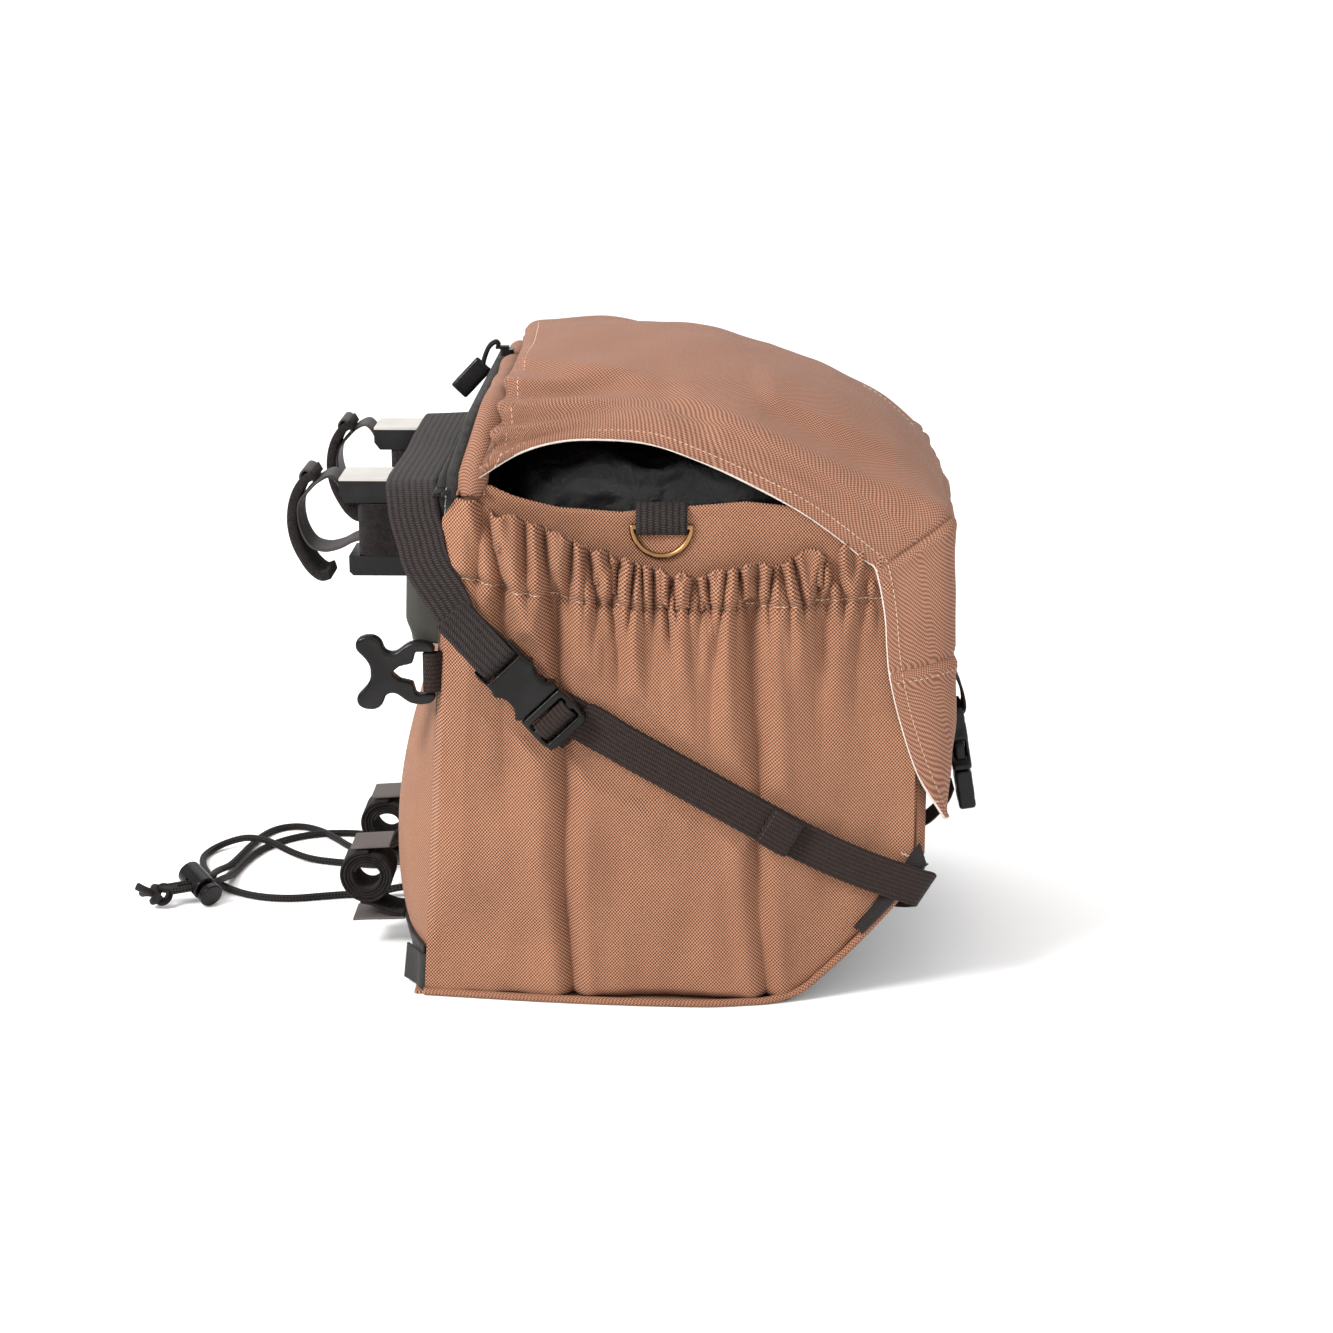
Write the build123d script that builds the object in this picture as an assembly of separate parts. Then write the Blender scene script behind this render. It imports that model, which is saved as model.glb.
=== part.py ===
"""Field pack with a lift-up lid, gathered side pockets and bar-mount hardware.

Millimetres. +Z is up and the pack stands on z = 0. The lid flap and its two
closure buckles face -Y, the bar loops and bungee face +Y, and the pack is
symmetrical about x = 0 apart from the zip pull and the bungee.
"""
from build123d import *
import math
import os

os.makedirs("parts", exist_ok=True)

# ---------------------------------------------------------------- pack body
SIDE_X = 112.0          # outer face of each side panel
PANEL_T = 2.0           # lined fabric panel
BASE_T = 2.5            # base and front underside fabric
BASE_X = 117.0          # half width of the base
BASE_FRONT_Y = -65.0    # where the flat base turns up into the underside
BACK_Y = 111.0          # back edge of the base
FRONT_Y = -146.0        # outer face of the front panel
UNDERSIDE_TOP_Z = 72.0  # where the underside meets the front panel
FRONT_TOP_Z = 238.0     # top of the front panel
BACK_LEAN = 16.0        # the back seam leans forward this much up to the pad
BACK_BULGE = 22.0       # how far the lower back bulges behind that seam
PAD_Z = 190.0           # the lower back ends and the grey pad starts
PAD_BOTTOM_Y = 95.0     # back line at PAD_Z
BACK_TOP_Y = 65.0       # back line at BACK_TOP_Z
BACK_TOP_Z = 300.0
PIPING_R = 2.0
PIPING_X = 119.0

# ---------------------------------------------------------------- lid
LID_X = 117.0           # half width outside
LID_T = 2.5
LID_FRONT_Y = -157.0    # outer face of the front flap
LID_HEM_Z = 94.0        # bottom edge of the front flap
LID_CROWN_Z = 321.0     # top of the crown
LID_DROP = 40.0         # crown to edge across the pack
LID_DROP_POWER = 2.2

# ---------------------------------------------------------------- webbing and buckles
WEB_T = 1.6
WIDE_WEB = 25.0
SIDE_WEB = 20.0
RING_BAR_R = 1.5
RING_R = 14.35          # centre line of the round part of a D-ring
RUN_FIT = 0.05          # radial clearance of each swivel

# ---------------------------------------------------------------- carrying hardware
BLOCK_X = 70.0          # centre of each stand-off block
BLOCK_W = 30.0
BLOCK_TOP_Z = 258.0
STRAP_LOOP_W = 25.0
ROLL_X = 43.0
ROLL_W = 24.0
ROLL_Y = 142.0
ROLL_Z = 40.0
ROLL_R = 15.0
ROLL_HOLE_R = 7.0

# ---------------------------------------------------------------- bungee
CORD_R = 2.0


# ================================================================ helpers
def closed(*points):
    """A face on XY with straight sides."""
    return make_face(Polyline(*points, close=True))


def bounded(*curves):
    """A face on XY bounded by joined curves."""
    return make_face(Curve() + list(curves))


def prism_x(face, low, high):
    """The face, drawn as (y, z), extruded from x = low to x = high."""
    return extrude(Plane.YZ.offset(low) * face, high - low)


def prism_y(face, low, high):
    """The face, drawn as (x, z), extruded from y = low to y = high."""
    frame = Plane(origin=(0, low, 0), x_dir=(1, 0, 0), z_dir=(0, -1, 0))
    return extrude(frame * face, -(high - low))


def prism_z(face, low, high):
    """The face, drawn as (x, y), extruded from z = low to z = high."""
    return extrude(Pos(0, 0, low) * face, high - low)


def box(x, y, z):
    """A box from three (low, high) pairs."""
    size = (x[1] - x[0], y[1] - y[0], z[1] - z[0])
    return Pos((x[0] + x[1]) / 2, (y[0] + y[1]) / 2, (z[0] + z[1]) / 2) * Box(*size)


def web(stations, thickness=WEB_T):
    """A flat strap through (centre, width direction, outward direction, width) stations."""
    faces = []
    for centre, across, outward, width in stations:
        along = Vector(*across).cross(Vector(*outward)).normalized()
        frame = Plane(origin=centre, x_dir=across, z_dir=along)
        faces.append((frame * Rectangle(width, thickness)).faces()[0])
    return loft(faces, ruled=True)


def tube(points, radius, name):
    """A cord along straight runs joined by arcs as large as the runs allow."""
    route = [Vector(*p) for p in points]
    radii = []
    for before, at, after in zip(route, route[1:], route[2:]):
        turn = math.radians((at - before).get_angle(after - at))
        shorter = min((at - before).length, (after - at).length)
        radii.append(0.45 * shorter / math.tan(turn / 2))
    path = FilletPolyline(*route, radius=radii)
    cord = sweep(Plane(origin=path @ 0, z_dir=path % 0) * Circle(radius), path=path)
    section = math.pi * radius ** 2
    print(name, "length", round(path.length, 1), "volume / section", round(cord.volume / section, 1),
          "radii", [round(r, 1) for r in radii])
    return cord


def both(shape):
    """The shape and its mirror image, as two solids of one node."""
    return Compound(children=[*shape.solids(), *mirror(shape, about=Plane.YZ).solids()])


def save(name, shape):
    export_step(shape, "parts/" + name + ".step")


def save_pair(name, shape):
    """Write the part on the wearer's right (-X) and its mirror on the left."""
    save(name + "_right", shape)
    save(name + "_left", mirror(shape, about=Plane.YZ))


# ================================================================ outlines
def back_y(z):
    """The bulged lower back, seen from the side."""
    share = z / PAD_Z
    return BACK_Y - BACK_LEAN * share + BACK_BULGE * math.sin(math.pi * share ** 0.8)


def back_line(z, inset=0.0):
    """A point on the straight upper back, moved inward by inset."""
    lean = (BACK_TOP_Y - PAD_BOTTOM_Y) / (BACK_TOP_Z - PAD_Z)
    return (PAD_BOTTOM_Y + lean * (z - PAD_Z) - inset * math.hypot(1, lean), z)


def underside_z(y, inset=0.0):
    """Height of the sloping underside at y, moved inward by inset."""
    slope = UNDERSIDE_TOP_Z / (BASE_FRONT_Y - FRONT_Y)
    return slope * (BASE_FRONT_Y - y) + inset * math.hypot(1, slope)


LOW_FRONT = (FRONT_Y, underside_z(FRONT_Y, BASE_T))
LOW_CORNER = (BASE_FRONT_Y + 0.95, BASE_T)
BACK_HEIGHTS = (BASE_T, 30, 60, 90, 120, 150, 175, PAD_Z)


def side_face():
    """Outline of a side panel, its top edge sagging between its corners."""
    top = [back_line(262), (35, 252), (5, 248), (-55, 256), (FRONT_Y, FRONT_TOP_Z)]
    low = [(FRONT_Y, FRONT_TOP_Z), LOW_FRONT, LOW_CORNER, (back_y(BASE_T), BASE_T)]
    back = [(back_y(z), z) for z in BACK_HEIGHTS]
    return bounded(Spline(*back), Line(back[-1], top[0]), Spline(*top), Polyline(*low))


def crown_face(inset=0.0):
    """Side view of everything under the lid's outer surface."""
    top = [(58, 317), (10, LID_CROWN_Z), (-31, 319), (-62, 311), (-99, 298), (-125, 285), (-146, 266)]
    top = [(y, z - inset) for y, z in top] + [(LID_FRONT_Y + inset, 244)]
    sides = [top[-1], (LID_FRONT_Y + inset, 60), (90, 60), (90, 317 - inset), top[0]]
    return bounded(Spline(*top), Polyline(*sides))


def dome_face(inset=0.0):
    """Front view of everything under the lid's outer surface."""
    steps = [i / 6 for i in range(-6, 7)]
    top = [((LID_X - inset) * s, LID_CROWN_Z - inset - LID_DROP * abs(s) ** LID_DROP_POWER) for s in steps]
    return bounded(Spline(*top), Polyline(top[-1], (top[-1][0], 60), (top[0][0], 60), top[0]))


def arch_face(half, top, corner, foot):
    """Front view of the back's upper outline: flat top with big round corners."""
    shape = closed((-half, foot), (half, foot), (half, top), (-half, top))
    corners = shape.vertices().group_by(Axis.Y)[-1]
    return fillet(corners, corner)


# ================================================================ sewn body
def build_body():
    side = prism_x(side_face(), -SIDE_X, -SIDE_X + PANEL_T)
    save_pair("side_panel", side)

    inner_x = SIDE_X - PANEL_T
    front = box((-inner_x, inner_x), (FRONT_Y, FRONT_Y + PANEL_T), (LOW_FRONT[1], FRONT_TOP_Z))
    save("front_panel", front)

    underside = closed((BASE_FRONT_Y, 0), LOW_CORNER, LOW_FRONT, (FRONT_Y, UNDERSIDE_TOP_Z))
    save("underside_panel", prism_x(underside, -BASE_X, BASE_X))

    base = closed((BASE_FRONT_Y, 0), (BACK_Y, 0), (BACK_Y, BASE_T), LOW_CORNER)
    save("base_panel", prism_x(base, -BASE_X, BASE_X))

    outer = [(back_y(z), z) for z in BACK_HEIGHTS]
    inner = [(y - PANEL_T, z) for y, z in outer]
    back = bounded(Spline(*outer), Spline(*inner), Line(outer[0], inner[0]), Line(outer[-1], inner[-1]))
    save("back_panel", prism_x(back, -inner_x, inner_x))

    band_z = (0.0, 8.0, 16.0, 24.0)
    near = [(back_y(z) + 0.3, z) for z in band_z]
    far = [(y + 2.2, z) for y, z in near]
    band = bounded(Spline(*near), Spline(*far), Line(near[0], far[0]), Line(near[-1], far[-1]))
    save("base_back_band", prism_x(band, -BASE_X, BASE_X))

    flange = [(back_y(z) - 9, z) for z in (27, 20, 12, 4)] + [(back_y(z) + 0.2, z) for z in (4, 12, 20, 27)]
    save("corner_binding", both(prism_x(closed(*flange), -BASE_X, -SIDE_X - 0.2)))

    edge = Polyline((-PIPING_X, BACK_Y - 3, PIPING_R), (-PIPING_X, BASE_FRONT_Y, PIPING_R),
                    (-PIPING_X, FRONT_Y + 4, underside_z(FRONT_Y + 4, 0.9)))
    edge = fillet(edge.vertices().sort_by(Axis.Y)[1], 20)
    cord = sweep(Plane(origin=edge @ 0, z_dir=edge % 0) * Circle(PIPING_R), path=edge)
    save("edge_piping", both(cord))


def build_inside():
    outline = closed((-62, 5.2), (FRONT_Y + 3, 78), (FRONT_Y + 3, 262), (-55, 274), (40, 276),
                     back_line(275, 3.4), back_line(PAD_Z, 3.4), (105, 5.2))
    shell = prism_x(outline, -109, 109)
    space = prism_x(offset(outline, -1), -108, 108)
    save("liner", shell - space - Pos(0, 0, 3) * space)
    save("base_board", box((-105, 105), (-58, 104), (2.6, 5.0)))

    sheet = closed(back_line(193, 0.1), back_line(293, 0.1), back_line(293, 2.6), back_line(193, 2.6))
    sheet = prism_x(sheet, -96, 96) & prism_y(arch_face(96, 288, 32, 150), 40, 120)
    for hole in screw_places():
        sheet -= hole * Cylinder(2.0, 60)
    save("frame_sheet", sheet)


def screw_places():
    """Axes of the four screws, along Y through the pad and into the blocks."""
    return [Pos(x, 92, z) * Rot(90, 0, 0) for x in (-BLOCK_X, BLOCK_X) for z in (217, 252)]


def build_upper_back():
    pad = closed(back_line(PAD_Z + 0.3), (105, 193), (107, 207), (107, 222), (99, 250), (85, 280),
                 (78, 293), back_line(296))
    pad = prism_x(pad, -103, 103) & prism_y(arch_face(103, 297, 34, 150), 40, 120)
    for hole in screw_places():
        pad -= hole * Cylinder(2.0, 60)
    save("back_pad", pad)

    gusset = closed((62.4, 303), (75, 303), (86, 270), (97, 251), (80, 251), (74.3, 268))
    arch = prism_y(arch_face(115.5, 300, 36, 150), 40, 120) - prism_y(arch_face(113.3, 297.8, 34, 140), 30, 130)
    save("zip_gusset", arch & prism_x(gusset, -130, 130))

    tape = closed((67, 303), (75, 303), (98, 251), (90, 251))
    arch = prism_y(arch_face(116.7, 301.2, 37, 150), 40, 120) - prism_y(arch_face(115.6, 300.1, 36, 140), 30, 130)
    save("zip_tape", arch & prism_x(tape, -130, 130))

    slider = box((35, 45), (68, 75), (301.5, 305.0))
    slider = fillet(slider.edges().filter_by(Axis.Z), 1.5)
    slider += box((37.5, 42.5), (70.5, 77.5), (305.0, 306.6))
    slider -= Pos(40, 76, 306) * Cylinder(1.0, 6)
    save("zip_slider", slider)

    loop = Polyline((40, 77.4, 308.3), (40, 81.7, 303.7), (40, 83.5, 297.8))
    loop = fillet(loop.vertices()[1], 3.5)
    strands = [Pos(dx, 0, 0) * sweep(Plane(origin=loop @ 0, z_dir=loop % 0) * Circle(1.0), path=loop)
               for dx in (-1.2, 1.2)]
    save("zip_pull_cord", Compound(children=[s for strand in strands for s in strand.solids()]))

    tab = Plane(origin=(40, 83.6, 297.0), x_dir=(1, 0, 0), z_dir=(0, 0.69, -0.724))
    grip = extrude(tab * RectangleRounded(4, 11, 1.2), 21)
    save("zip_pull_tab", grip)


# ================================================================ side pockets
POCKET_BOTTOM_Z = 3.6


def pocket_solid(inset):
    """The filled outline of a right-hand pocket, moved inward by inset."""
    rim = 12 if inset else 0
    plan_y = [-140, -118, -106, -88, -68, -20, 45, 72, 88]
    plan_x = [113.4, 113.7, 114.2, 119, 124.3, 126, 126, 124, 119]
    outer = [(-(x - inset), y) for x, y in zip(plan_x, plan_y)]
    plan = bounded(Spline(*outer), Polyline(outer[-1], (-100, 88), (-100, -140), outer[0]))
    rise = [(116.6, 0), (117, 6), (122, 28), (126, 60), (126, 150), (123.5, 200), (119.5, 252)]
    front = bounded(Spline(*[(-(x - inset), z) for x, z in rise]),
                    Polyline((-(119.5 - inset), 252), (-100, 252), (-100, 0), (-(116.6 - inset), 0)))
    low = [(-137 + inset, 150), (-139 + inset, underside_z(-139, BASE_T + 2.0 + inset)),
           (LOW_CORNER[0] + inset, POCKET_BOTTOM_Z + inset), (100 - inset, POCKET_BOTTOM_Z + inset),
           (87 - inset, 200), (84 - inset, 247 + rim)]
    top = [(84 - inset, 247 + rim), (42, 240 + rim), (0, 228 + rim), (-35, 226 + rim), (-80, 233 + rim),
           (-112 + inset, 231 + rim)]
    side = bounded(Polyline(*low), Spline(*top), Line(top[-1], low[0]))
    solid = prism_x(side, -140, -SIDE_X) & prism_z(plan, 0, 280)
    return solid & prism_y(front, -150, 120)


def build_pockets():
    save_pair("side_pocket", pocket_solid(0.0) - pocket_solid(1.6))
    band = pocket_solid(1.8) - pocket_solid(3.0)
    band &= box((-130, -113.5), (-95, 70), (200, 218))
    save("pocket_elastics", both(band))


# ================================================================ straps and rings
def build_rings():
    bar = (-114.6, -14.5, 242.0)
    tab = box((-117.0, -SIDE_X - 0.1), (bar[1] - 12.5, bar[1] + 12.5), (bar[2] - 2.6, 257))
    tab = fillet(tab.edges().filter_by(Axis.Y).group_by(Axis.Z)[0], 2.2)
    tab -= Pos(*bar) * Rot(90, 0, 0) * Cylinder(RING_BAR_R + RUN_FIT, 40)
    save_pair("ring_tab", tab)

    straight = Plane(origin=(bar[0], bar[1] - RING_R, bar[2]), z_dir=(0, 1, 0))
    ring = extrude(straight * Circle(RING_BAR_R), 2 * RING_R)
    bow = CenterArc((0, 0), RING_R, 180, 180)
    bow = Plane(origin=bar, x_dir=(0, 1, 0), z_dir=(1, 0, 0)) * bow
    ring += sweep(Plane(origin=bow @ 0, z_dir=bow % 0) * Circle(RING_BAR_R), path=bow)
    for end in (-RING_R, RING_R):
        ring += Pos(bar[0], bar[1] + end, bar[2]) * Sphere(RING_BAR_R)
    save_pair("d_ring", ring)


def female_half():
    """The socket of a side-release buckle. Local +X is the way the plug leaves."""
    rim = [(-26, 11.5), (-20, 12.2), (-14, 12), (-8, 13.6), (0, 14), (8, 13)]
    upper = Spline(*rim)
    lower = Spline(*[(x, -y) for x, y in rim])
    ends = [Line((-26, 11.5), (-26, -11.5)), Line((8, 13), (8, -13))]
    shell = extrude(Pos(0, 0, -5) * bounded(upper, lower, *ends), 10)
    shell = fillet(shell.edges().filter_by(Axis.Z), 2.5)
    shell = fillet(outer_edges(shell), 1.8)
    shell -= box((-12, 9), (-10.6, 10.6), (-3.2, 3.2))
    window = extrude(Pos(-2.5, 0, -15) * Ellipse(7.5, 5.6), 30)
    for side in (-1, 1):
        shell -= Pos(0, side * 15.2, 0) * window
    shell -= box((-27, -16.6), (-10.8, 10.8), (-6, 6))
    return shell + Pos(BAR_X, 0, 0) * Rot(90, 0, 0) * Cylinder(BAR_R, 22.5)


def outer_edges(slab):
    """Edges round the top and the bottom of a flat part."""
    faces = slab.faces().sort_by(Axis.Z)
    return faces[-1].edges() + faces[0].edges()


def male_half():
    """The plug of a side-release buckle, its strap slots at the far end."""
    half = [(8.4, 12.6), (20, 13.2), (28.5, 12.2), (29.5, 9)]
    rim = half + [(x, -y) for x, y in reversed(half)]
    base = extrude(Pos(0, 0, -4.4) * closed(*rim), 8.8)
    base = fillet(outer_edges(base), 1.5)
    base -= box((12.5, 16), (-10.8, 10.8), (-6, 6))
    base -= box((20, 25), (-10.8, 10.8), (-6, 6))
    plug = box((-9, 9), (-1.6, 1.6), (-2.4, 2.4))
    for side in (-1, 1):
        arm = [(9, 6.6), (0, 6.4), (-9, 6.2), (-9, 7.6), (-4, 10.1), (2, 10.1), (9, 9.6)]
        plug += extrude(Pos(0, 0, -2.6) * closed(*[(x, side * y) for x, y in arm]), 5.2)
    return base + plug


def strap_wrap(bar_x, bar_r, reach, width=SIDE_WEB):
    """A strap end folded round a bar across local Y, both layers running reach away."""
    hole_r = bar_r + RUN_FIT
    outer_r = hole_r + WEB_T
    axis = Pos(bar_x, 0, 0) * Rot(90, 0, 0)
    fold = axis * Cylinder(outer_r, width) - axis * Cylinder(hole_r, width + 2)
    beyond = sorted((bar_x, bar_x - math.copysign(20, reach)))
    layers = sorted((bar_x, bar_x + reach))
    span = (-width / 2, width / 2)
    inner = box(layers, span, (-outer_r, -hole_r))
    outer = box(layers, span, (hole_r, outer_r))
    return (fold & box(beyond, (-width, width), (-10, 10))) + inner + outer


# ================================================================ side closure straps
SIDE_BUCKLE = Plane(origin=(-133.5, 50, 164), x_dir=(0, -0.69, -0.7238), z_dir=(-1, 0, 0))
BAR_X = -23.7
BAR_R = 1.65


def build_side_straps():
    save_pair("side_buckle_female", SIDE_BUCKLE * female_half())
    save_pair("side_buckle_male", SIDE_BUCKLE * male_half())

    reach = -13.0
    outer_r = BAR_R + RUN_FIT + WEB_T
    end = SIDE_BUCKLE.from_local_coords((BAR_X + reach, 0, WEB_T / 2 - outer_r))
    top_z = BLOCK_TOP_Z + 1.2 + WEB_T / 2
    stations = [((0, 108.8, top_z), (0, 1, 0), (0, 0, 1), WIDE_WEB),
                ((-88, 108.8, top_z), (0, 1, 0), (0, 0, 1), WIDE_WEB),
                ((-99, 108.6, 258.0), (0, 0.998, -0.07), (-0.42, 0.06, 0.905), WIDE_WEB),
                ((-108.5, 106, 247), (0, 0.97, -0.24), (-0.8, 0.144, 0.58), WIDE_WEB),
                ((-121, 99.5, 225), (0, 0.93, -0.367), (-0.96, 0.1, 0.26), WIDE_WEB - 2),
                (tuple(end), (0, 0.7238, -0.69), (-1, 0, 0), SIDE_WEB)]
    half = web(stations)
    half += SIDE_BUCKLE * strap_wrap(BAR_X, BAR_R, reach)
    save("upper_strap", half + mirror(half, about=Plane.YZ))

    across = (0, 0.496, -0.868)
    lower = web([((-128.1, 38, 155.3), across, (-1, 0, 0), SIDE_WEB),
                 ((-127.4, -60, 99.3), across, (-1, 0, 0), SIDE_WEB),
                 ((-127.2, -85, 85.0), across, (-1, 0, 0), SIDE_WEB),
                 ((-122.6, -137, 55.3), across, (-1, 0, 0), SIDE_WEB)])
    anchor = Plane(origin=(-107.4, -128, underside_z(-128, -1.0)), x_dir=(0, -0.747, 0.664),
                   z_dir=(0, -0.664, -0.747))
    fold = extrude(anchor * Rectangle(SIDE_WEB, 18.6), WEB_T / 2, both=True)
    save_pair("lower_strap", Compound(children=[*lower.solids(), *fold.solids()]))


# ================================================================ spare harness clips
def build_clips():
    frame = Plane(origin=(-118.2, 126, 169.5), x_dir=(0, -1, 0), z_dir=(-1, 0, 0))
    pin_x = 27.0
    half = [(-3.4, 5), (-6.5, 8.9), (-9.2, 12.5), (-8.4, 16.6), (-4.5, 18.6), (0.6, 18.2), (3.6, 15.4),
            (5.2, 11.6), (9, 10.4), (13, 12.6), (17.5, 15.4), (22.5, 16), (27, 15.2), (29.4, 12.8)]
    rim = [(-2.4, 0)] + half
    edge = Spline(*rim)
    lower = Spline(*[(x, -y) for x, y in rim])
    side = bounded(edge, Line((29.4, 12.8), (29.4, -12.8)), lower)
    clip = extrude(Pos(0, 0, -3.6) * side, 7.2)
    clip = fillet(clip.edges().group_by(Axis.Z)[0] + clip.edges().group_by(Axis.Z)[-1], 1.6)
    clip -= extrude(Pos(0, 0, -6) * closed((8, 0), (12, 3.4), (18.5, 5), (20, 10.8), (32, 10.8), (32, -10.8),
                                           (20, -10.8), (18.5, -5), (12, -3.4)), 12)
    pin = Pos(pin_x, 0, 0) * Rot(90, 0, 0) * Cylinder(BAR_R, 26)
    save_pair("harness_clip", frame * (clip + pin))
    loop = frame * strap_wrap(pin_x, BAR_R, 10.0)
    outer_r = BAR_R + RUN_FIT + WEB_T
    tail = box((frame.origin.X - outer_r, -SIDE_X - 0.1), (88.2, 89.0), (159.5, 179.5))
    save("clip_loops", both(loop + tail))


# ================================================================ stand-off blocks
def build_blocks():
    x = (-BLOCK_X - BLOCK_W / 2, -BLOCK_X + BLOCK_W / 2)
    side = closed((107.2, 210), (107.2, 222), (99.2, 250), (95.4, BLOCK_TOP_Z), (146, BLOCK_TOP_Z),
                  (146, 251), (143, 247), (134, 247), (134, 220), (142, 220), (142, 212), (140, 210))
    block = prism_x(side, *x)
    core = (-BLOCK_X - 11, -BLOCK_X + 11)
    for slot in ((x[0] - 1, core[0]), (core[1], x[1] + 1)):
        block -= box(slot, (109, 160), (220, 247))
    for hole in screw_places():
        block -= hole * Cylinder(2.0, 60)
    save_pair("standoff_block", block)
    save("block_caps", both(box(x, (97, 146), (BLOCK_TOP_Z, BLOCK_TOP_Z + 1.2))))

    outer = [(136.5, 221.2), (142.6, 220.4), (150, 213.5), (160, 207.5), (172.4, 220), (175.06, 239),
             (170, 254), (158, 261.5), (146.1, 257.5)]
    inner = [(146.1, 252.5), (157, 255.5), (166, 250), (169.5, 238), (167, 226), (159, 217.5),
             (150, 220.5), (144, 226.5), (136.5, 228)]
    loop = bounded(Spline(*outer), Line(outer[-1], inner[0]), Spline(*inner), Line(inner[-1], outer[0]))
    strap = prism_x(loop, -BLOCK_X - STRAP_LOOP_W / 2, -BLOCK_X + STRAP_LOOP_W / 2)
    wrap = box(x, (109.2, 136.5), (220.2, 246.8)) - box((core[0] - 0.1, core[1] + 0.1), (100, 134.1), (219, 248))
    save_pair("bar_loop", strap + wrap)

    screws = []
    reach = prism_x(closed(back_line(190, 2.6), (116, 190), (116, 275), back_line(275, 2.6)), -100, 100)
    for place in screw_places():
        screws += (place * Cylinder(1.9, 60) & reach).solids()
    save("block_screws", Compound(children=screws))


# ================================================================ lower keeper straps
def build_rolls():
    centre = (ROLL_Y, ROLL_Z)
    x = (-ROLL_X - ROLL_W / 2, -ROLL_X + ROLL_W / 2)
    roll = prism_x(Pos(*centre) * Circle(ROLL_R) - Pos(*centre) * Circle(ROLL_HOLE_R), *x)
    leg = closed((ROLL_Y - 6, ROLL_Z - ROLL_R + 1.2), (ROLL_Y + 2, ROLL_Z - ROLL_R + 0.2), (130, 18),
                 (back_y(20) + 2.8, 18), (back_y(20) + 2.8, 20.2), (130, 20.2))
    save_pair("keeper_strap_roll", roll + prism_x(leg, *x))
    tabs = []
    for z in (55.6, 16.2):
        tabs += box(x, (back_y(z + 1.4) + 2.8, 150), (z, z + 1.4)).solids()
    save("keeper_tabs", both(Compound(children=tabs)))


# ================================================================ lid and closure
def build_lid():
    shell = prism_x(crown_face(), -130, 130) & prism_y(dome_face(), -200, 100)
    shell -= prism_x(crown_face(LID_T), -140, 140) & prism_y(dome_face(LID_T), -210, 110)
    hem = [(73, 267), (54, 279), (35, 284), (15, 285), (-9, 283), (-33, 275), (-57, 264), (-81, 251), (-105, 234)]
    ear = [(-105, 234), (-119, 221), (-124, 182), (-134, 134), (-155, LID_HEM_Z)]
    keep = bounded(Spline(*hem), Polyline(*ear, (-180, LID_HEM_Z), (-180, 340), (51.1, 340), hem[0]))
    shell &= prism_x(keep, -150, 150)
    flap_side = closed((-60, 177.6), (-190, 273.4), (-190, 60), (-60, 60))
    save("lid_top", shell - prism_x(flap_side, -150, 150))
    save("lid_flap", shell & prism_x(flap_side, -150, 150))

    frame = Plane(origin=(-57, -166.4, 113), x_dir=(0, -0.16, -0.987), z_dir=(0, -0.987, 0.16))
    save_pair("front_buckle_female", frame * female_half())
    save_pair("front_buckle_male", frame * male_half())
    tab = box((-67, -47), (LID_FRONT_Y - 1.7, LID_FRONT_Y - 0.1), (147, 171))
    save("flap_webbing", both(frame * strap_wrap(BAR_X, BAR_R, -13.0) + tab))

    web_side = closed((-163.0, 95.5), (-161.8, 89), (-148.2, 73.8), (-146.1, 73.8), (-146.1, 76),
                      (-160.2, 90.2), (-161.4, 95.5))
    save("front_webbing", both(prism_x(web_side, -67, -47)))


# ================================================================ bungee
LOCK_HEAD = Vector(4.9, 236.0, 6.6)             # middle of the button's outer face
LOCK_TURN = 43.0                                # heading of the lock's axis, from +X
LOCK_TILT = 20.0                                # rise of the axis
LOCK_HOLES = (10.6, 15.0)                       # cord centres along the axis
PORT_Y = 123.0                                  # where the cord leaves the base channel
PORT_Z = 7.0
KNOT = (5.6, 265.0, 8.3)
KNOT_R = 8.0

CORD_A = [(119, 123, 7), (119, 134, 7), (120.5, 148, 2.1), (125, 162, 2.1), (128.5, 177, 2.1), (127, 193, 2.1),
          (120.5, 207, 2.1), (108.5, 218.5, 2.1), (93, 226, 2.1), (76, 230, 2.1), (59, 232.5, 2.1),
          (44, 233.5, 4.5), (31, 234.5, 7.8), (18.3, 236.2, 10.2), (8.1, 247.2, 10.2), (5.2, 259, 9.2)]
CORD_B = [(83, 123, 7), (83, 134, 7), (84, 148, 2.1), (91, 162, 2.1), (104, 174, 2.1), (120, 184.5, 2.1),
          (134, 196, 2.1), (141, 208.5, 2.1), (136, 221, 2.1), (121, 228, 2.1), (103.5, 231.5, 2.1),
          (85, 234.5, 2.1), (68, 237.5, 2.1), (52, 239.5, 5.8), (36, 240, 9.6), (21.3, 239, 11.7),
          (11.1, 250, 11.7), (8.2, 261, 10.8)]
CORD_C = [(71, 123, 7), (71, 134, 7), (71.3, 148, 2.1), (73, 163, 2.1), (76, 178, 2.1), (81, 193, 2.1),
          (87.5, 206, 4.2), (94.5, 218, 8.2), (102, 232, 8.2), (104.5, 244, 4.4), (97, 253, 2.1),
          (83, 256, 2.1), (68, 253, 2.1), (54, 247.5, 2.1), (41, 240.5, 2.1), (29.5, 231, 2.1),
          (20.5, 219.5, 2.1), (15.5, 206, 2.1), (15, 192, 2.1), (19, 178, 2.1), (22.5, 163.5, 2.1),
          (22.6, 149, 2.1), (23, 134, 7), (23, 123, 7)]


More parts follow.
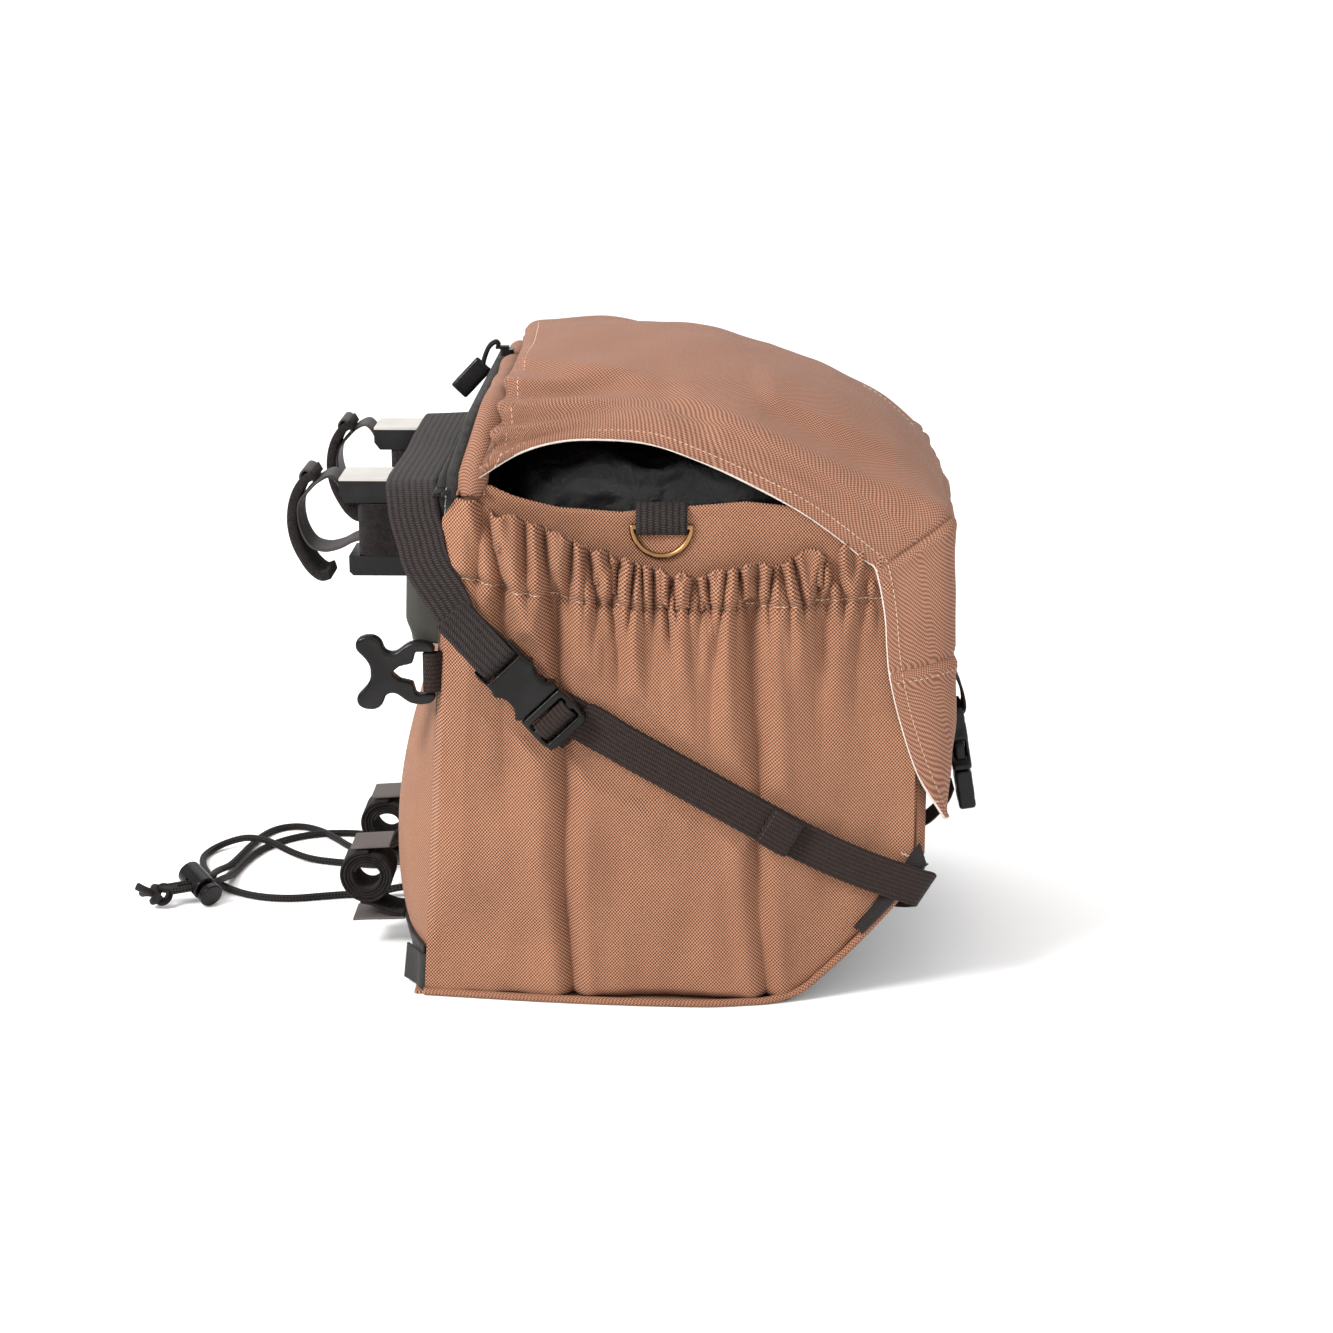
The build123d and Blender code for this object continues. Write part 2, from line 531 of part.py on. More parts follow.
def build_bungee():
    save("bungee_a", tube(CORD_A, CORD_R, "bungee_a"))
    save("bungee_b", tube(CORD_B, CORD_R, "bungee_b"))
    save("bungee_c", tube(CORD_C, CORD_R, "bungee_c"))
    body = prism_x(closed((60, 0), *[(back_y(z) + 2.8, z) for z in (0, 4, 8, 12)], (60, 12)), -BASE_X, BASE_X)
    ports = []
    for x in (CORD_A[0][0], CORD_B[0][0], CORD_C[0][0], CORD_C[-1][0]):
        port = Pos(min(x, BASE_X - 4.6), PORT_Y - 6, PORT_Z) * Rot(90, 0, 0) * Cylinder(4.5, 12)
        ports += (port - body).solids()
    save("bungee_ports", Compound(children=ports))
    save("cord_knot", Pos(*KNOT) * Sphere(KNOT_R))

    turn, tilt = math.radians(LOCK_TURN), math.radians(LOCK_TILT)
    axis = (math.cos(tilt) * math.cos(turn), math.cos(tilt) * math.sin(turn), math.sin(tilt))
    print("lock axis", [round(a, 5) for a in axis])
    frame = Plane(origin=LOCK_HEAD, x_dir=(-math.sin(turn), math.cos(turn), 0), z_dir=axis)
    half_hole = (LOCK_HOLES[1] - LOCK_HOLES[0]) / 2 + CORD_R + 0.3
    middle = (LOCK_HOLES[0] + LOCK_HOLES[1]) / 2
    travel, bore_r, wide = 3.0, 4.35, CORD_R + 0.6
    barrel = Pos(0, 0, 16) * Cylinder(6.9, 18)
    barrel = fillet(barrel.edges(), 1)
    barrel -= Pos(0, 0, 15) * Cylinder(bore_r, 18)
    barrel -= box((-8, 8), (-wide, wide), (middle - half_hole, middle + half_hole))
    save("lock_barrel", frame * barrel)
    button = fillet((Pos(0, 0, 2) * Cylinder(6.8, 4)).edges(), 0.9)
    button += Pos(0, 0, 11) * Cylinder(bore_r - RUN_FIT, 16)
    button -= box((-8, 8), (-wide, wide), (middle - half_hole - travel, middle + half_hole))
    save("lock_button", frame * button)
    coil = Pos(0, 0, 23) * (Cylinder(3.6, 1.8) - Cylinder(2.8, 1.8))
    save("lock_spring", frame * coil)


# ================================================================ write every node
build_body()
build_inside()
build_upper_back()
build_pockets()
build_rings()
build_side_straps()
build_clips()
build_blocks()
build_rolls()
build_lid()
build_bungee()
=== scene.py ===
"""Looks of the field pack: camera, cords, soft pieces and materials. Shapes are in millimetres."""
import bpy
import math
import numpy as np
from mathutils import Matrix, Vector, noise


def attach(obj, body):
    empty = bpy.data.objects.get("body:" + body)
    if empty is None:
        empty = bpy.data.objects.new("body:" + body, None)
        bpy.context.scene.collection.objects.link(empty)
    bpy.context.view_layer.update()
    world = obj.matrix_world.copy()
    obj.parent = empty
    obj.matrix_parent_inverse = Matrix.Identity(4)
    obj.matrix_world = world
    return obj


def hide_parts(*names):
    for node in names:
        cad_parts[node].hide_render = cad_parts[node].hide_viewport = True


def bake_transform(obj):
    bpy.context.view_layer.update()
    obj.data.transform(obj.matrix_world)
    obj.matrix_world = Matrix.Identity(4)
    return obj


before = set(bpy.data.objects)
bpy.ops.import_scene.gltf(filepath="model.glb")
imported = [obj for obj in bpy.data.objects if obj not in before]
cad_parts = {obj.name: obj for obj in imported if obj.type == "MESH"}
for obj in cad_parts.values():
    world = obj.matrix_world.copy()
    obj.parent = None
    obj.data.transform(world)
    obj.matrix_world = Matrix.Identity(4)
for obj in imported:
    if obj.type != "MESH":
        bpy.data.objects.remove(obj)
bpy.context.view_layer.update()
MM = 0.001
SIDES = (("right", -1), ("left", 1))
SIDE_X = 112                            # half width over the side panels
FRONT_Y, SIDE_BACK_Y = -146, 92         # front panel, and the rear end of a side sheet before its seam
BUCKLE_X, BLOCK_X, ROLL_X = 57, 70, 43  # middles of the front buckles, stand-off blocks and keeper rolls
WEB, WIDE_WEB = 20, 25                  # webbing widths


# ------------------------------------------------------------------ camera, floor and light
def look_along(obj, direction):
    obj.rotation_euler = Vector(direction).to_track_quat("-Z", "Y").to_euler()


def stage_and_camera():
    scene = bpy.context.scene
    cam = bpy.data.objects.new("camera", bpy.data.cameras.new("camera"))
    scene.collection.objects.link(cam)
    cam.location = (-1.419, -0.046, 0.5287)
    pitch, yaw = math.radians(15.29), math.radians(1.28)
    look_along(cam, (math.cos(pitch) * math.cos(yaw), math.cos(pitch) * math.sin(yaw), -math.sin(pitch)))
    cam.data.lens = 74.4
    cam.data.sensor_width = 36
    scene.camera = cam
    scene.view_settings.view_transform = "Standard"

    floor = bpy.data.meshes.new("floor")
    floor.from_pydata([(-6, -6, 0), (6, -6, 0), (6, 6, 0), (-6, 6, 0)], [], [(0, 1, 2, 3)])
    floor = bpy.data.objects.new("floor", floor)
    scene.collection.objects.link(floor)
    mat = bpy.data.materials.new("floor_white")
    mat.use_nodes = True
    bsdf = mat.node_tree.nodes["Principled BSDF"]
    bsdf.inputs["Base Color"].default_value = (0.985, 0.985, 0.985, 1)
    bsdf.inputs["Roughness"].default_value = 0.9
    bsdf.inputs["Specular IOR Level"].default_value = 0.1
    floor.data.materials.append(mat)

    world = bpy.data.worlds.new("studio")
    scene.world = world
    world.use_nodes = True
    world.node_tree.nodes["Background"].inputs["Color"].default_value = (1, 1, 1, 1)
    world.node_tree.nodes["Background"].inputs["Strength"].default_value = 1.02
    for name, place, size, power, tint in (("key", (-1.1, 1.25, 1.35), 0.6, 46, (1, 0.985, 0.965)),
                                           ("fill", (-1.6, -1.3, 0.9), 1.4, 5, (0.97, 0.98, 1)),
                                           ("rim", (1.1, 0.4, 1.9), 1.5, 14, (1, 1, 1))):
        light = bpy.data.objects.new(name, bpy.data.lights.new(name, "AREA"))
        light.data.size = size
        light.data.energy = power
        light.data.color = tint
        light.location = place
        look_along(light, Vector((0, 0, 0.12)) - Vector(place))
        scene.collection.objects.link(light)


# ------------------------------------------------------------------ materials
class Nodes:
    """A short way to wire a procedural material."""

    def __init__(self, name):
        self.mat = bpy.data.materials.new(name)
        self.mat.use_nodes = True
        self.tree = self.mat.node_tree
        self.bsdf = self.tree.nodes["Principled BSDF"]

    def node(self, kind, **inputs):
        made = self.tree.nodes.new(kind)
        for key, value in inputs.items():
            self.feed(made, key.replace("_", " "), value)
        return made

    def feed(self, node, key, value):
        socket = node.inputs[int(key)] if key.isdigit() else node.inputs[key]
        if isinstance(value, bpy.types.NodeSocket):
            self.tree.links.new(value, socket)
        else:
            socket.default_value = value

    def math(self, operation, a, b=0.0):
        made = self.tree.nodes.new("ShaderNodeMath")
        made.operation = operation
        self.feed(made, "0", a)
        self.feed(made, "1", b)
        return made.outputs[0]

    def mix(self, share, a, b):
        made = self.tree.nodes.new("ShaderNodeMix")
        made.data_type = "RGBA"
        for index, value in ((0, share), (6, a), (7, b)):
            self.feed(made, str(index), value)
        return made.outputs[2]

    def spread(self, value, low, high, to_low=0.0, to_high=1.0):
        made = self.node("ShaderNodeMapRange", Value=value)
        made.inputs["From Min"].default_value = low
        made.inputs["From Max"].default_value = high
        made.inputs["To Min"].default_value = to_low
        made.inputs["To Max"].default_value = to_high
        return made.outputs[0]

    def noise(self, scale, detail=3.0, rough=0.55, vector=None):
        made = self.node("ShaderNodeTexNoise", Scale=scale, Detail=detail, Roughness=rough)
        if vector is None:
            vector = self.node("ShaderNodeTexCoord").outputs["Object"]
        self.tree.links.new(vector, made.inputs["Vector"])
        return made.outputs["Fac"]

    def uv(self):
        split = self.node("ShaderNodeSeparateXYZ")
        self.tree.links.new(self.node("ShaderNodeTexCoord").outputs["UV"], split.inputs[0])
        return split.outputs[0], split.outputs[1]

    def wave(self, value, pitch, shift=0.0):
        return self.math("SINE", self.math("ADD", self.math("MULTIPLY", value, 2 * math.pi / pitch), shift))

    def bump(self, height, distance, strength=1.0):
        made = self.node("ShaderNodeBump", Height=height, Distance=distance, Strength=strength)
        self.tree.links.new(made.outputs[0], self.bsdf.inputs["Normal"])

    def finish(self, color=None, roughness=0.5, **sockets):
        if color is not None:
            self.feed(self.bsdf, "Base Color", color)
        self.feed(self.bsdf, "Roughness", roughness)
        for key, value in sockets.items():
            self.bsdf.inputs[key.replace("_", " ")].default_value = value
        return self.mat


def weave(name, dark, light, across=0.0016, along=0.0018, depth=0.00022, rough=0.8, sheen=0.04, tone=0.06):
    n = Nodes(name)
    u, v = n.uv()
    dots = n.math("MULTIPLY", n.wave(u, across), n.wave(v, along))
    share = n.spread(dots, -0.55, 0.6)
    yarn = n.noise(900, 2)
    patch = n.noise(14, 4)
    share = n.math("ADD", share, n.spread(yarn, 0.3, 0.7, -0.06, 0.06))
    share = n.math("ADD", share, n.spread(patch, 0.3, 0.7, -tone, tone))
    n.bump(n.math("ADD", dots, n.math("MULTIPLY", yarn, 0.6)), depth)
    return n.finish(n.mix(n.spread(share, 0, 1), (*dark, 1), (*light, 1)), rough, Sheen_Weight=sheen,
                    Specular_IOR_Level=0.25)


def webbing(name, dark, light, rib=0.0031, pick=0.0013, depth=0.00025, rough=0.62):
    n = Nodes(name)
    u, v = n.uv()
    ribs = n.math("ABSOLUTE", n.wave(u, 2 * rib))
    column = n.math("FLOOR", n.math("DIVIDE", u, rib))
    lean = n.math("MULTIPLY", n.math("ABSOLUTE", n.wave(u, 2 * rib, 0.8)), 1.3)
    pics = n.math("SINE", n.math("ADD", n.math("MULTIPLY", v, 2 * math.pi / pick),
                                 n.math("ADD", n.math("MULTIPLY", column, 2.1), lean)))
    height = n.math("ADD", ribs, n.math("MULTIPLY", pics, 0.55))
    share = n.spread(height, -0.5, 1.5)
    share = n.math("ADD", share, n.spread(n.noise(700, 2), 0.3, 0.7, -0.15, 0.15))
    n.bump(height, depth)
    return n.finish(n.mix(n.spread(share, 0, 1), (*dark, 1), (*light, 1)), rough, Sheen_Weight=0.02,
                    Specular_IOR_Level=0.14)


def moulded(name, color, rough=0.36, grain=0.25, scale=500, depth=0.00008, coat=0.0, metallic=0.0, gloss=0.3):
    n = Nodes(name)
    fine = n.noise(scale, 4)
    wear = n.noise(28, 5)
    light = tuple(min(1, c * 1.35 + 0.01) for c in color)
    n.bump(fine, depth, 0.8)
    return n.finish(n.mix(n.spread(wear, 0.42, 0.75), (*color, 1), (*light, 1)),
                    n.spread(wear, 0.3, 0.7, rough - grain * 0.3, rough + grain * 0.4), Coat_Weight=coat,
                    Metallic=metallic, Specular_IOR_Level=gloss)


def fuzzy(name, color, light, scale=1400, depth=0.0009, rough=0.95):
    n = Nodes(name)
    loops = n.noise(scale, 4, 0.7)
    tufts = n.noise(260, 3)
    share = n.spread(n.math("ADD", loops, n.math("MULTIPLY", tufts, 0.4)), 0.5, 0.9)
    n.bump(n.math("ADD", loops, tufts), depth)
    return n.finish(n.mix(share, (*color, 1), (*light, 1)), rough, Sheen_Weight=0.06, Specular_IOR_Level=0.1)


def crinkled(name, dark, light, rough=0.3):
    n = Nodes(name)
    u, v = n.uv()
    fine = n.math("MULTIPLY", n.wave(u, 0.0009), n.wave(v, 0.0009))
    crease = n.node("ShaderNodeTexNoise", Scale=30.0, Detail=5.0, Roughness=0.55, Distortion=0.25)
    n.tree.links.new(n.node("ShaderNodeTexCoord").outputs["Object"], crease.inputs["Vector"])
    height = n.math("ADD", n.math("MULTIPLY", crease.outputs["Fac"], 5.0), n.math("MULTIPLY", fine, 0.05))
    n.bump(height, 0.0016)
    return n.finish(n.mix(n.spread(fine, -1, 1), (*dark, 1), (*light, 1)), rough, Specular_IOR_Level=0.2)


def braided(name, dark, light):
    n = Nodes(name)
    u, v = n.uv()
    twist = n.math("SINE", n.math("ADD", n.math("MULTIPLY", u, 2 * math.pi * 90),
                                  n.math("MULTIPLY", v, 2 * math.pi * 4)))
    back = n.math("SINE", n.math("SUBTRACT", n.math("MULTIPLY", u, 2 * math.pi * 90),
                                 n.math("MULTIPLY", v, 2 * math.pi * 4)))
    height = n.math("MULTIPLY", twist, back)
    n.bump(height, 0.0002)
    return n.finish(n.mix(n.spread(height, -0.6, 1), (*dark, 1), (*light, 1)), 0.6, Sheen_Weight=0.02,
                    Specular_IOR_Level=0.15)


CANVAS = weave("canvas_oxford", (0.040, 0.012, 0.005), (0.47, 0.225, 0.130))
CANVAS_LID = weave("canvas_lid", (0.10, 0.038, 0.021), (0.37, 0.185, 0.118), depth=0.00016, tone=0.05)
BLACK_CLOTH = weave("black_cloth", (0.002, 0.0016, 0.0016), (0.016, 0.012, 0.0115), 0.0011, 0.0012, 0.00014,
                    0.6, 0.05)
LINER = crinkled("liner_nylon", (0.0008, 0.0007, 0.0007), (0.0022, 0.002, 0.002), 0.34)
WEBBING = webbing("webbing_ribbed", (0.0012, 0.0009, 0.0009), (0.040, 0.030, 0.029), depth=0.0004)
WEBBING_FINE = webbing("webbing_fine", (0.0012, 0.0009, 0.0008), (0.036, 0.022, 0.018), 0.0022, 0.0011,
                       0.0003)
FUZZ = fuzzy("hook_loop_fuzz", (0.003, 0.0025, 0.0025), (0.026, 0.021, 0.020))
LOOP_BACK = moulded("loop_back", (0.022, 0.017, 0.015), 0.55, 0.2, 900, 0.00012)
PAD = moulded("rubberised_pad", (0.030, 0.029, 0.023), 0.7, 0.2, 1600, 0.0001)
PLASTIC = moulded("buckle_plastic", (0.003, 0.0024, 0.0023), 0.25, 0.2, 900, 0.00004, gloss=0.18)
GLOSS = moulded("block_plastic", (0.006, 0.006, 0.0065), 0.16, 0.1, 60, 0.00003, gloss=0.14)
# Painted reflection: the light grey on the block tops stands in for the overhead light glancing off black glossy
# plastic.
BLOCK_TOP_PAINTED_REFLECTION = moulded("cap_plate", (0.40, 0.375, 0.355), 0.42, 0.2, 300, 0.00003)
BRASS = moulded("antique_brass", (0.27, 0.145, 0.062), 0.28, 0.3, 400, 0.00005, metallic=1.0, gloss=0.5)
STEEL = moulded("plain_steel", (0.55, 0.55, 0.55), 0.3, 0.2, 400, 0.00003, metallic=1.0, gloss=0.5)
BOARD = moulded("stiffener_board", (0.05, 0.05, 0.05), 0.6, 0.2)
TAPE = fuzzy("zip_tape", (0.010, 0.0095, 0.009), (0.045, 0.043, 0.040), 2200, 0.0004, 0.85)
TAB = moulded("tab_coated", (0.075, 0.062, 0.057), 0.6, 0.2, 700, 0.0001)
THREAD = moulded("cream_thread", (0.52, 0.37, 0.27), 0.7, 0.1, 3000, 0.0001)
RAW_EDGE = fuzzy("raw_edge", (0.42, 0.34, 0.29), (0.72, 0.66, 0.62), 1800, 0.0003)
CORD = braided("cord_braid", (0.002, 0.0018, 0.0018), (0.022, 0.018, 0.017))
THREAD_GREY = moulded("grey_thread", (0.45, 0.43, 0.41), 0.7, 0.1, 3000, 0.0001)
# Dark thread for the strap tail stitches, and also the colour of the painted shadow along each side seam.
DARK_THREAD_AND_SEAM_SHADOW = moulded("dark_thread_and_seam_shadow", (0.05, 0.042, 0.04), 0.6, 0.1, 3000, 0.0001)


# ------------------------------------------------------------------ mesh helpers
def spline(points, count):
    """count points spaced evenly along a smooth curve through the given points."""
    p = np.asarray(points, float)
    ends = np.vstack([2 * p[0] - p[1], p, 2 * p[-1] - p[-2]])
    steps = np.linalg.norm(np.diff(ends, axis=0), axis=1) ** 0.5 + 1e-9
    knots = np.concatenate([[0], np.cumsum(steps)])
    fine = []
    for i in range(1, len(ends) - 2):
        t0, t1, t2, t3 = knots[i - 1:i + 3]
        t = np.linspace(t1, t2, 24, endpoint=i == len(ends) - 3)[:, None]
        a1 = (t1 - t) / (t1 - t0) * ends[i - 1] + (t - t0) / (t1 - t0) * ends[i]
        a2 = (t2 - t) / (t2 - t1) * ends[i] + (t - t1) / (t2 - t1) * ends[i + 1]
        a3 = (t3 - t) / (t3 - t2) * ends[i + 1] + (t - t2) / (t3 - t2) * ends[i + 2]
        b1 = (t2 - t) / (t2 - t0) * a1 + (t - t0) / (t2 - t0) * a2
        b2 = (t3 - t) / (t3 - t1) * a2 + (t - t1) / (t3 - t1) * a3
        fine.append((t2 - t) / (t2 - t1) * b1 + (t - t1) / (t2 - t1) * b2)
    fine = np.vstack(fine)
    return resample(fine, count)


def resample(line, count):
    gone = np.concatenate([[0], np.cumsum(np.linalg.norm(np.diff(line, axis=0), axis=1))])
    at = np.linspace(0, gone[-1], count)
    return np.stack([np.interp(at, gone, line[:, k]) for k in range(line.shape[1])], 1)


def finish_mesh(obj, mat):
    """Give a piece its one material and smooth shading."""
    obj.data.materials.clear()
    obj.data.materials.append(mat)
    for polygon in obj.data.polygons:
        polygon.use_smooth = True
        polygon.material_index = 0
    return obj


def link(name, mesh, mat):
    obj = bpy.data.objects.new(name, mesh)
    bpy.context.scene.collection.objects.link(obj)
    return finish_mesh(obj, mat)


def grid_mesh(name, rows, mat, wrap=False, flip=False, flat=None):
    """A sheet from an array of points (rows, columns, 3) in millimetres, UVs in metres along it or from flat."""
    rows = np.asarray(rows, float)
    nu, nv = rows.shape[:2]
    faces = []
    for i in range(nu - 1):
        for j in range(nv - (0 if wrap else 1)):
            k = (j + 1) % nv
            quad = (i * nv + j, i * nv + k, (i + 1) * nv + k, (i + 1) * nv + j)
            faces.append(quad[::-1] if flip else quad)
    mesh = bpy.data.meshes.new(name)
    mesh.from_pydata((rows.reshape(-1, 3) * MM).tolist(), [], faces)
    du = np.linalg.norm(np.diff(rows, axis=0), axis=2)
    dv = np.linalg.norm(np.diff(rows, axis=1), axis=2)
    u = np.vstack([np.zeros((1, nv)), np.cumsum(du, axis=0)])
    v = np.hstack([np.zeros((nu, 1)), np.cumsum(dv, axis=1)])
    u += (u[-1].mean() - u[-1])[None, :] * 0.5
    if flat is not None:
        v, u = np.array(flat[0], float), np.array(flat[1], float)
    v = v if flat is not None else v - v[:, nv // 2][:, None]
    v_next = np.hstack([v, v[:, -1:] + np.linalg.norm(rows[:, :1] - rows[:, -1:], axis=2)])
    layer = mesh.uv_layers.new(name="weave")
    uvs = []
    for i in range(nu - 1):
        for j in range(nv - (0 if wrap else 1)):
            quad = [(v_next[i, j], u[i, j]), (v_next[i, j + 1], u[i, (j + 1) % nv]),
                    (v_next[i + 1, j + 1], u[i + 1, (j + 1) % nv]), (v_next[i + 1, j], u[i + 1, j])]
            uvs += quad[::-1] if flip else quad
    layer.data.foreach_set("uv", (np.asarray(uvs) * MM).ravel())
    mesh.update()
    return link(name, mesh, mat)


def normals(rows):
    du = np.gradient(rows, axis=0)
    dv = np.gradient(rows, axis=1)
    n = np.cross(du, dv)
    return n / (np.linalg.norm(n, axis=2, keepdims=True) + 1e-9)


def thicken(obj, thickness):
    """Give a sheet its thickness in millimetres, half of it on each side."""
    mod = obj.modifiers.new("cloth_thickness", "SOLIDIFY")
    mod.thickness = thickness * MM
    mod.offset = 0
    mod.use_even_offset = False
    return obj


def pack_cloth(name, rows, mat, thickness, slot, *nodes, **how):
    """A thickened sheet that rides on the pack; how is passed to grid_mesh."""
    return put(thicken(grid_mesh(name, rows, mat, **how), thickness), "pack", slot, *nodes)


def strap(name, stations, mat, thickness=1.7, count=60):
    """A flat strap through (centre, across, width) stations, in millimetres, with soft edges and closed ends."""
    centre = np.array([s[0] for s in stations], float)
    across = np.array([np.array(s[1], float) / np.linalg.norm(s[1]) for s in stations])
    width = np.array([[s[2]] for s in stations], float)
    stack = spline(np.hstack([centre, across * 20, width]), count)
    centre, across, width = stack[:, :3], stack[:, 3:6], stack[:, 6:]
    across = across / np.linalg.norm(across, axis=1, keepdims=True)
    along = np.gradient(centre, axis=0)
    along /= np.linalg.norm(along, axis=1, keepdims=True) + 1e-9
    up = np.cross(across, along)
    up /= np.linalg.norm(up, axis=1, keepdims=True) + 1e-9
    h = thickness / 2
    half = [(-1, 0), (-0.985, 0.7), (-0.93, 1), (-0.6, 0.96), (-0.3, 1), (0, 0.96), (0.3, 1), (0.6, 0.96),
            (0.93, 1), (0.985, 0.7)]
    section = half + [(-x, -y) for x, y in half]
    rows = np.stack([centre + across * width / 2 * x + up * h * y for x, y in section], 1)
    obj = grid_mesh(name, rows, mat, wrap=True)
    verts = [tuple(v.co) for v in obj.data.vertices]
    faces = [tuple(p.vertices) for p in obj.data.polygons]
    uv = [tuple(d.uv) for d in obj.data.uv_layers[0].data]
    ring = len(section)
    faces += [tuple(range(ring))[::-1], tuple(range(len(verts) - ring, len(verts)))]
    uv += [(0, 0)] * 2 * ring
    closed = bpy.data.meshes.new(name)
    closed.from_pydata(verts, [], faces)
    closed.uv_layers.new(name="weave").data.foreach_set("uv", np.asarray(uv).ravel())
    obj.data = closed
    return finish_mesh(obj, mat)


def stitches(name, line, outward, body, size=2.5, gap=1.0, radius=0.36, mat=THREAD, sink=0.1):
    """A row of thread stitches along a line of points, standing on the outward normals."""
    line, outward = np.asarray(line, float), np.asarray(outward, float)
    both = np.hstack([line, outward])
    length = np.linalg.norm(np.diff(line, axis=0), axis=1).sum()
    count = max(2, int(length / (size + gap)))
    cuts = resample(both, count * 8 + 1)
    verts, faces = [], []
    for k in range(count):
        a, b = cuts[k * 8], cuts[k * 8 + int(8 * size / (size + gap))]
        along = b[:3] - a[:3]
        along /= np.linalg.norm(along) + 1e-9
        up = (a[3:] + b[3:]) / 2
        up /= np.linalg.norm(up) + 1e-9
        side = np.cross(along, up)
        first = len(verts)
        for share, grow in ((0.0, 0.35), (0.15, 0.9), (0.5, 1.1), (0.85, 0.9), (1.0, 0.35)):
            middle = a[:3] * (1 - share) + b[:3] * share + up * (radius * (1.3 * grow - 1.0) - sink + radius * 0.5)
            for turn in range(6):
                angle = turn * math.pi / 3
                verts.append(middle + radius * grow * (side * math.cos(angle) + up * math.sin(angle) * 0.8))
        for ring in range(4):
            for turn in range(6):
                a0 = first + ring * 6 + turn
                a1 = first + ring * 6 + (turn + 1) % 6
                faces.append((a0, a1, a1 + 6, a0 + 6))
    mesh = bpy.data.meshes.new(name)
    mesh.from_pydata((np.array(verts) * MM).tolist(), [], faces)
    obj = link(name, mesh, mat)
    if body == "lid":
        on_lid(obj)
    else:
        put(obj, body, "canvas")
    return obj


def tube(name, points, radius, mat, count=80, sides=12):
    """A round cord or roll of cloth along a smooth line; radius may vary along it."""
    line = spline(points, count)
    radii = np.broadcast_to(np.asarray(radius, float), (count,)) if np.ndim(radius) == 0 else np.interp(
        np.linspace(0, 1, count), np.linspace(0, 1, len(radius)), radius)
    along = np.gradient(line, axis=0)
    along /= np.linalg.norm(along, axis=1, keepdims=True)
    side = np.cross(along[0], (0.3, 0.2, 1.0))
    rows = []
    for k in range(count):
        side = side - along[k] * np.dot(side, along[k])
        side /= np.linalg.norm(side)
        up = np.cross(side, along[k])
        ring = [line[k] + radii[k] * (side * math.cos(a) + up * math.sin(a))
                for a in np.linspace(0, 2 * math.pi, sides, endpoint=False)]
        rows.append(ring)
    rows = np.array(rows)
    first, last = line[:1][:, None], line[-1:][:, None]
    rows = np.concatenate([rows[:1] * 0.02 + first * 0.98, rows[:1] * 0.75 + first * 0.25, rows,
                           rows[-1:] * 0.75 + last * 0.25, rows[-1:] * 0.02 + last * 0.98])
    return grid_mesh(name, rows, mat, wrap=True, flip=True)


def put(obj, body, slot, *nodes):
    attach(obj, body)
    if nodes:
        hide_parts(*nodes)
    return obj


def dress(node, mat):
    """Give a carried CAD node its finished material."""
    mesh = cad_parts[node].data
    mesh.materials.clear()
    mesh.materials.append(mat)


def on_right(side, node):
    """A CAD node that holds both sides is replaced once, by the right-hand piece."""
    return [node] if side == "right" else []


def apply_all(obj):
    bpy.context.view_layer.update()
    graph = bpy.context.evaluated_depsgraph_get()
    mesh = bpy.data.meshes.new_from_object(obj.evaluated_get(graph))
    obj.modifiers.clear()
    obj.data = mesh


def remeshed(name, node, voxel, rounds):
    """A copy of a CAD node's mesh with its edges rounded off by a voxel remesh and smoothing."""
    piece = bpy.data.objects.new(name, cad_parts[node].data.copy())
    bpy.context.scene.collection.objects.link(piece)
    mod = piece.modifiers.new("voxels", "REMESH")
    mod.mode = "VOXEL"
    mod.voxel_size = voxel
    mod = piece.modifiers.new("soft", "SMOOTH")
    mod.factor = 0.6
    mod.iterations = rounds
    apply_all(piece)
    return piece


def soften(node, body, mat, voxel=0.0006, rounds=7):
    """A moulded piece that stands for a CAD node."""
    put(finish_mesh(remeshed(node + "_moulded", node, voxel, rounds), mat), body, "black_plastic", node)


def rough_noise(rows, scale, seed=0.0):
    """Smooth noise at each point of an array, about -1 to 1."""
    flat = rows.reshape(-1, 3)
    out = [noise.noise(Vector((p[0] / scale + seed, p[1] / scale - seed,
                               p[2] / scale + 2 * seed))) for p in flat]
    return np.array(out).reshape(rows.shape[:-1]) * 1.6


def smoothstep(a, b, x):
    t = np.clip((x - a) / (b - a), 0, 1)
    return t * t * (3 - 2 * t)


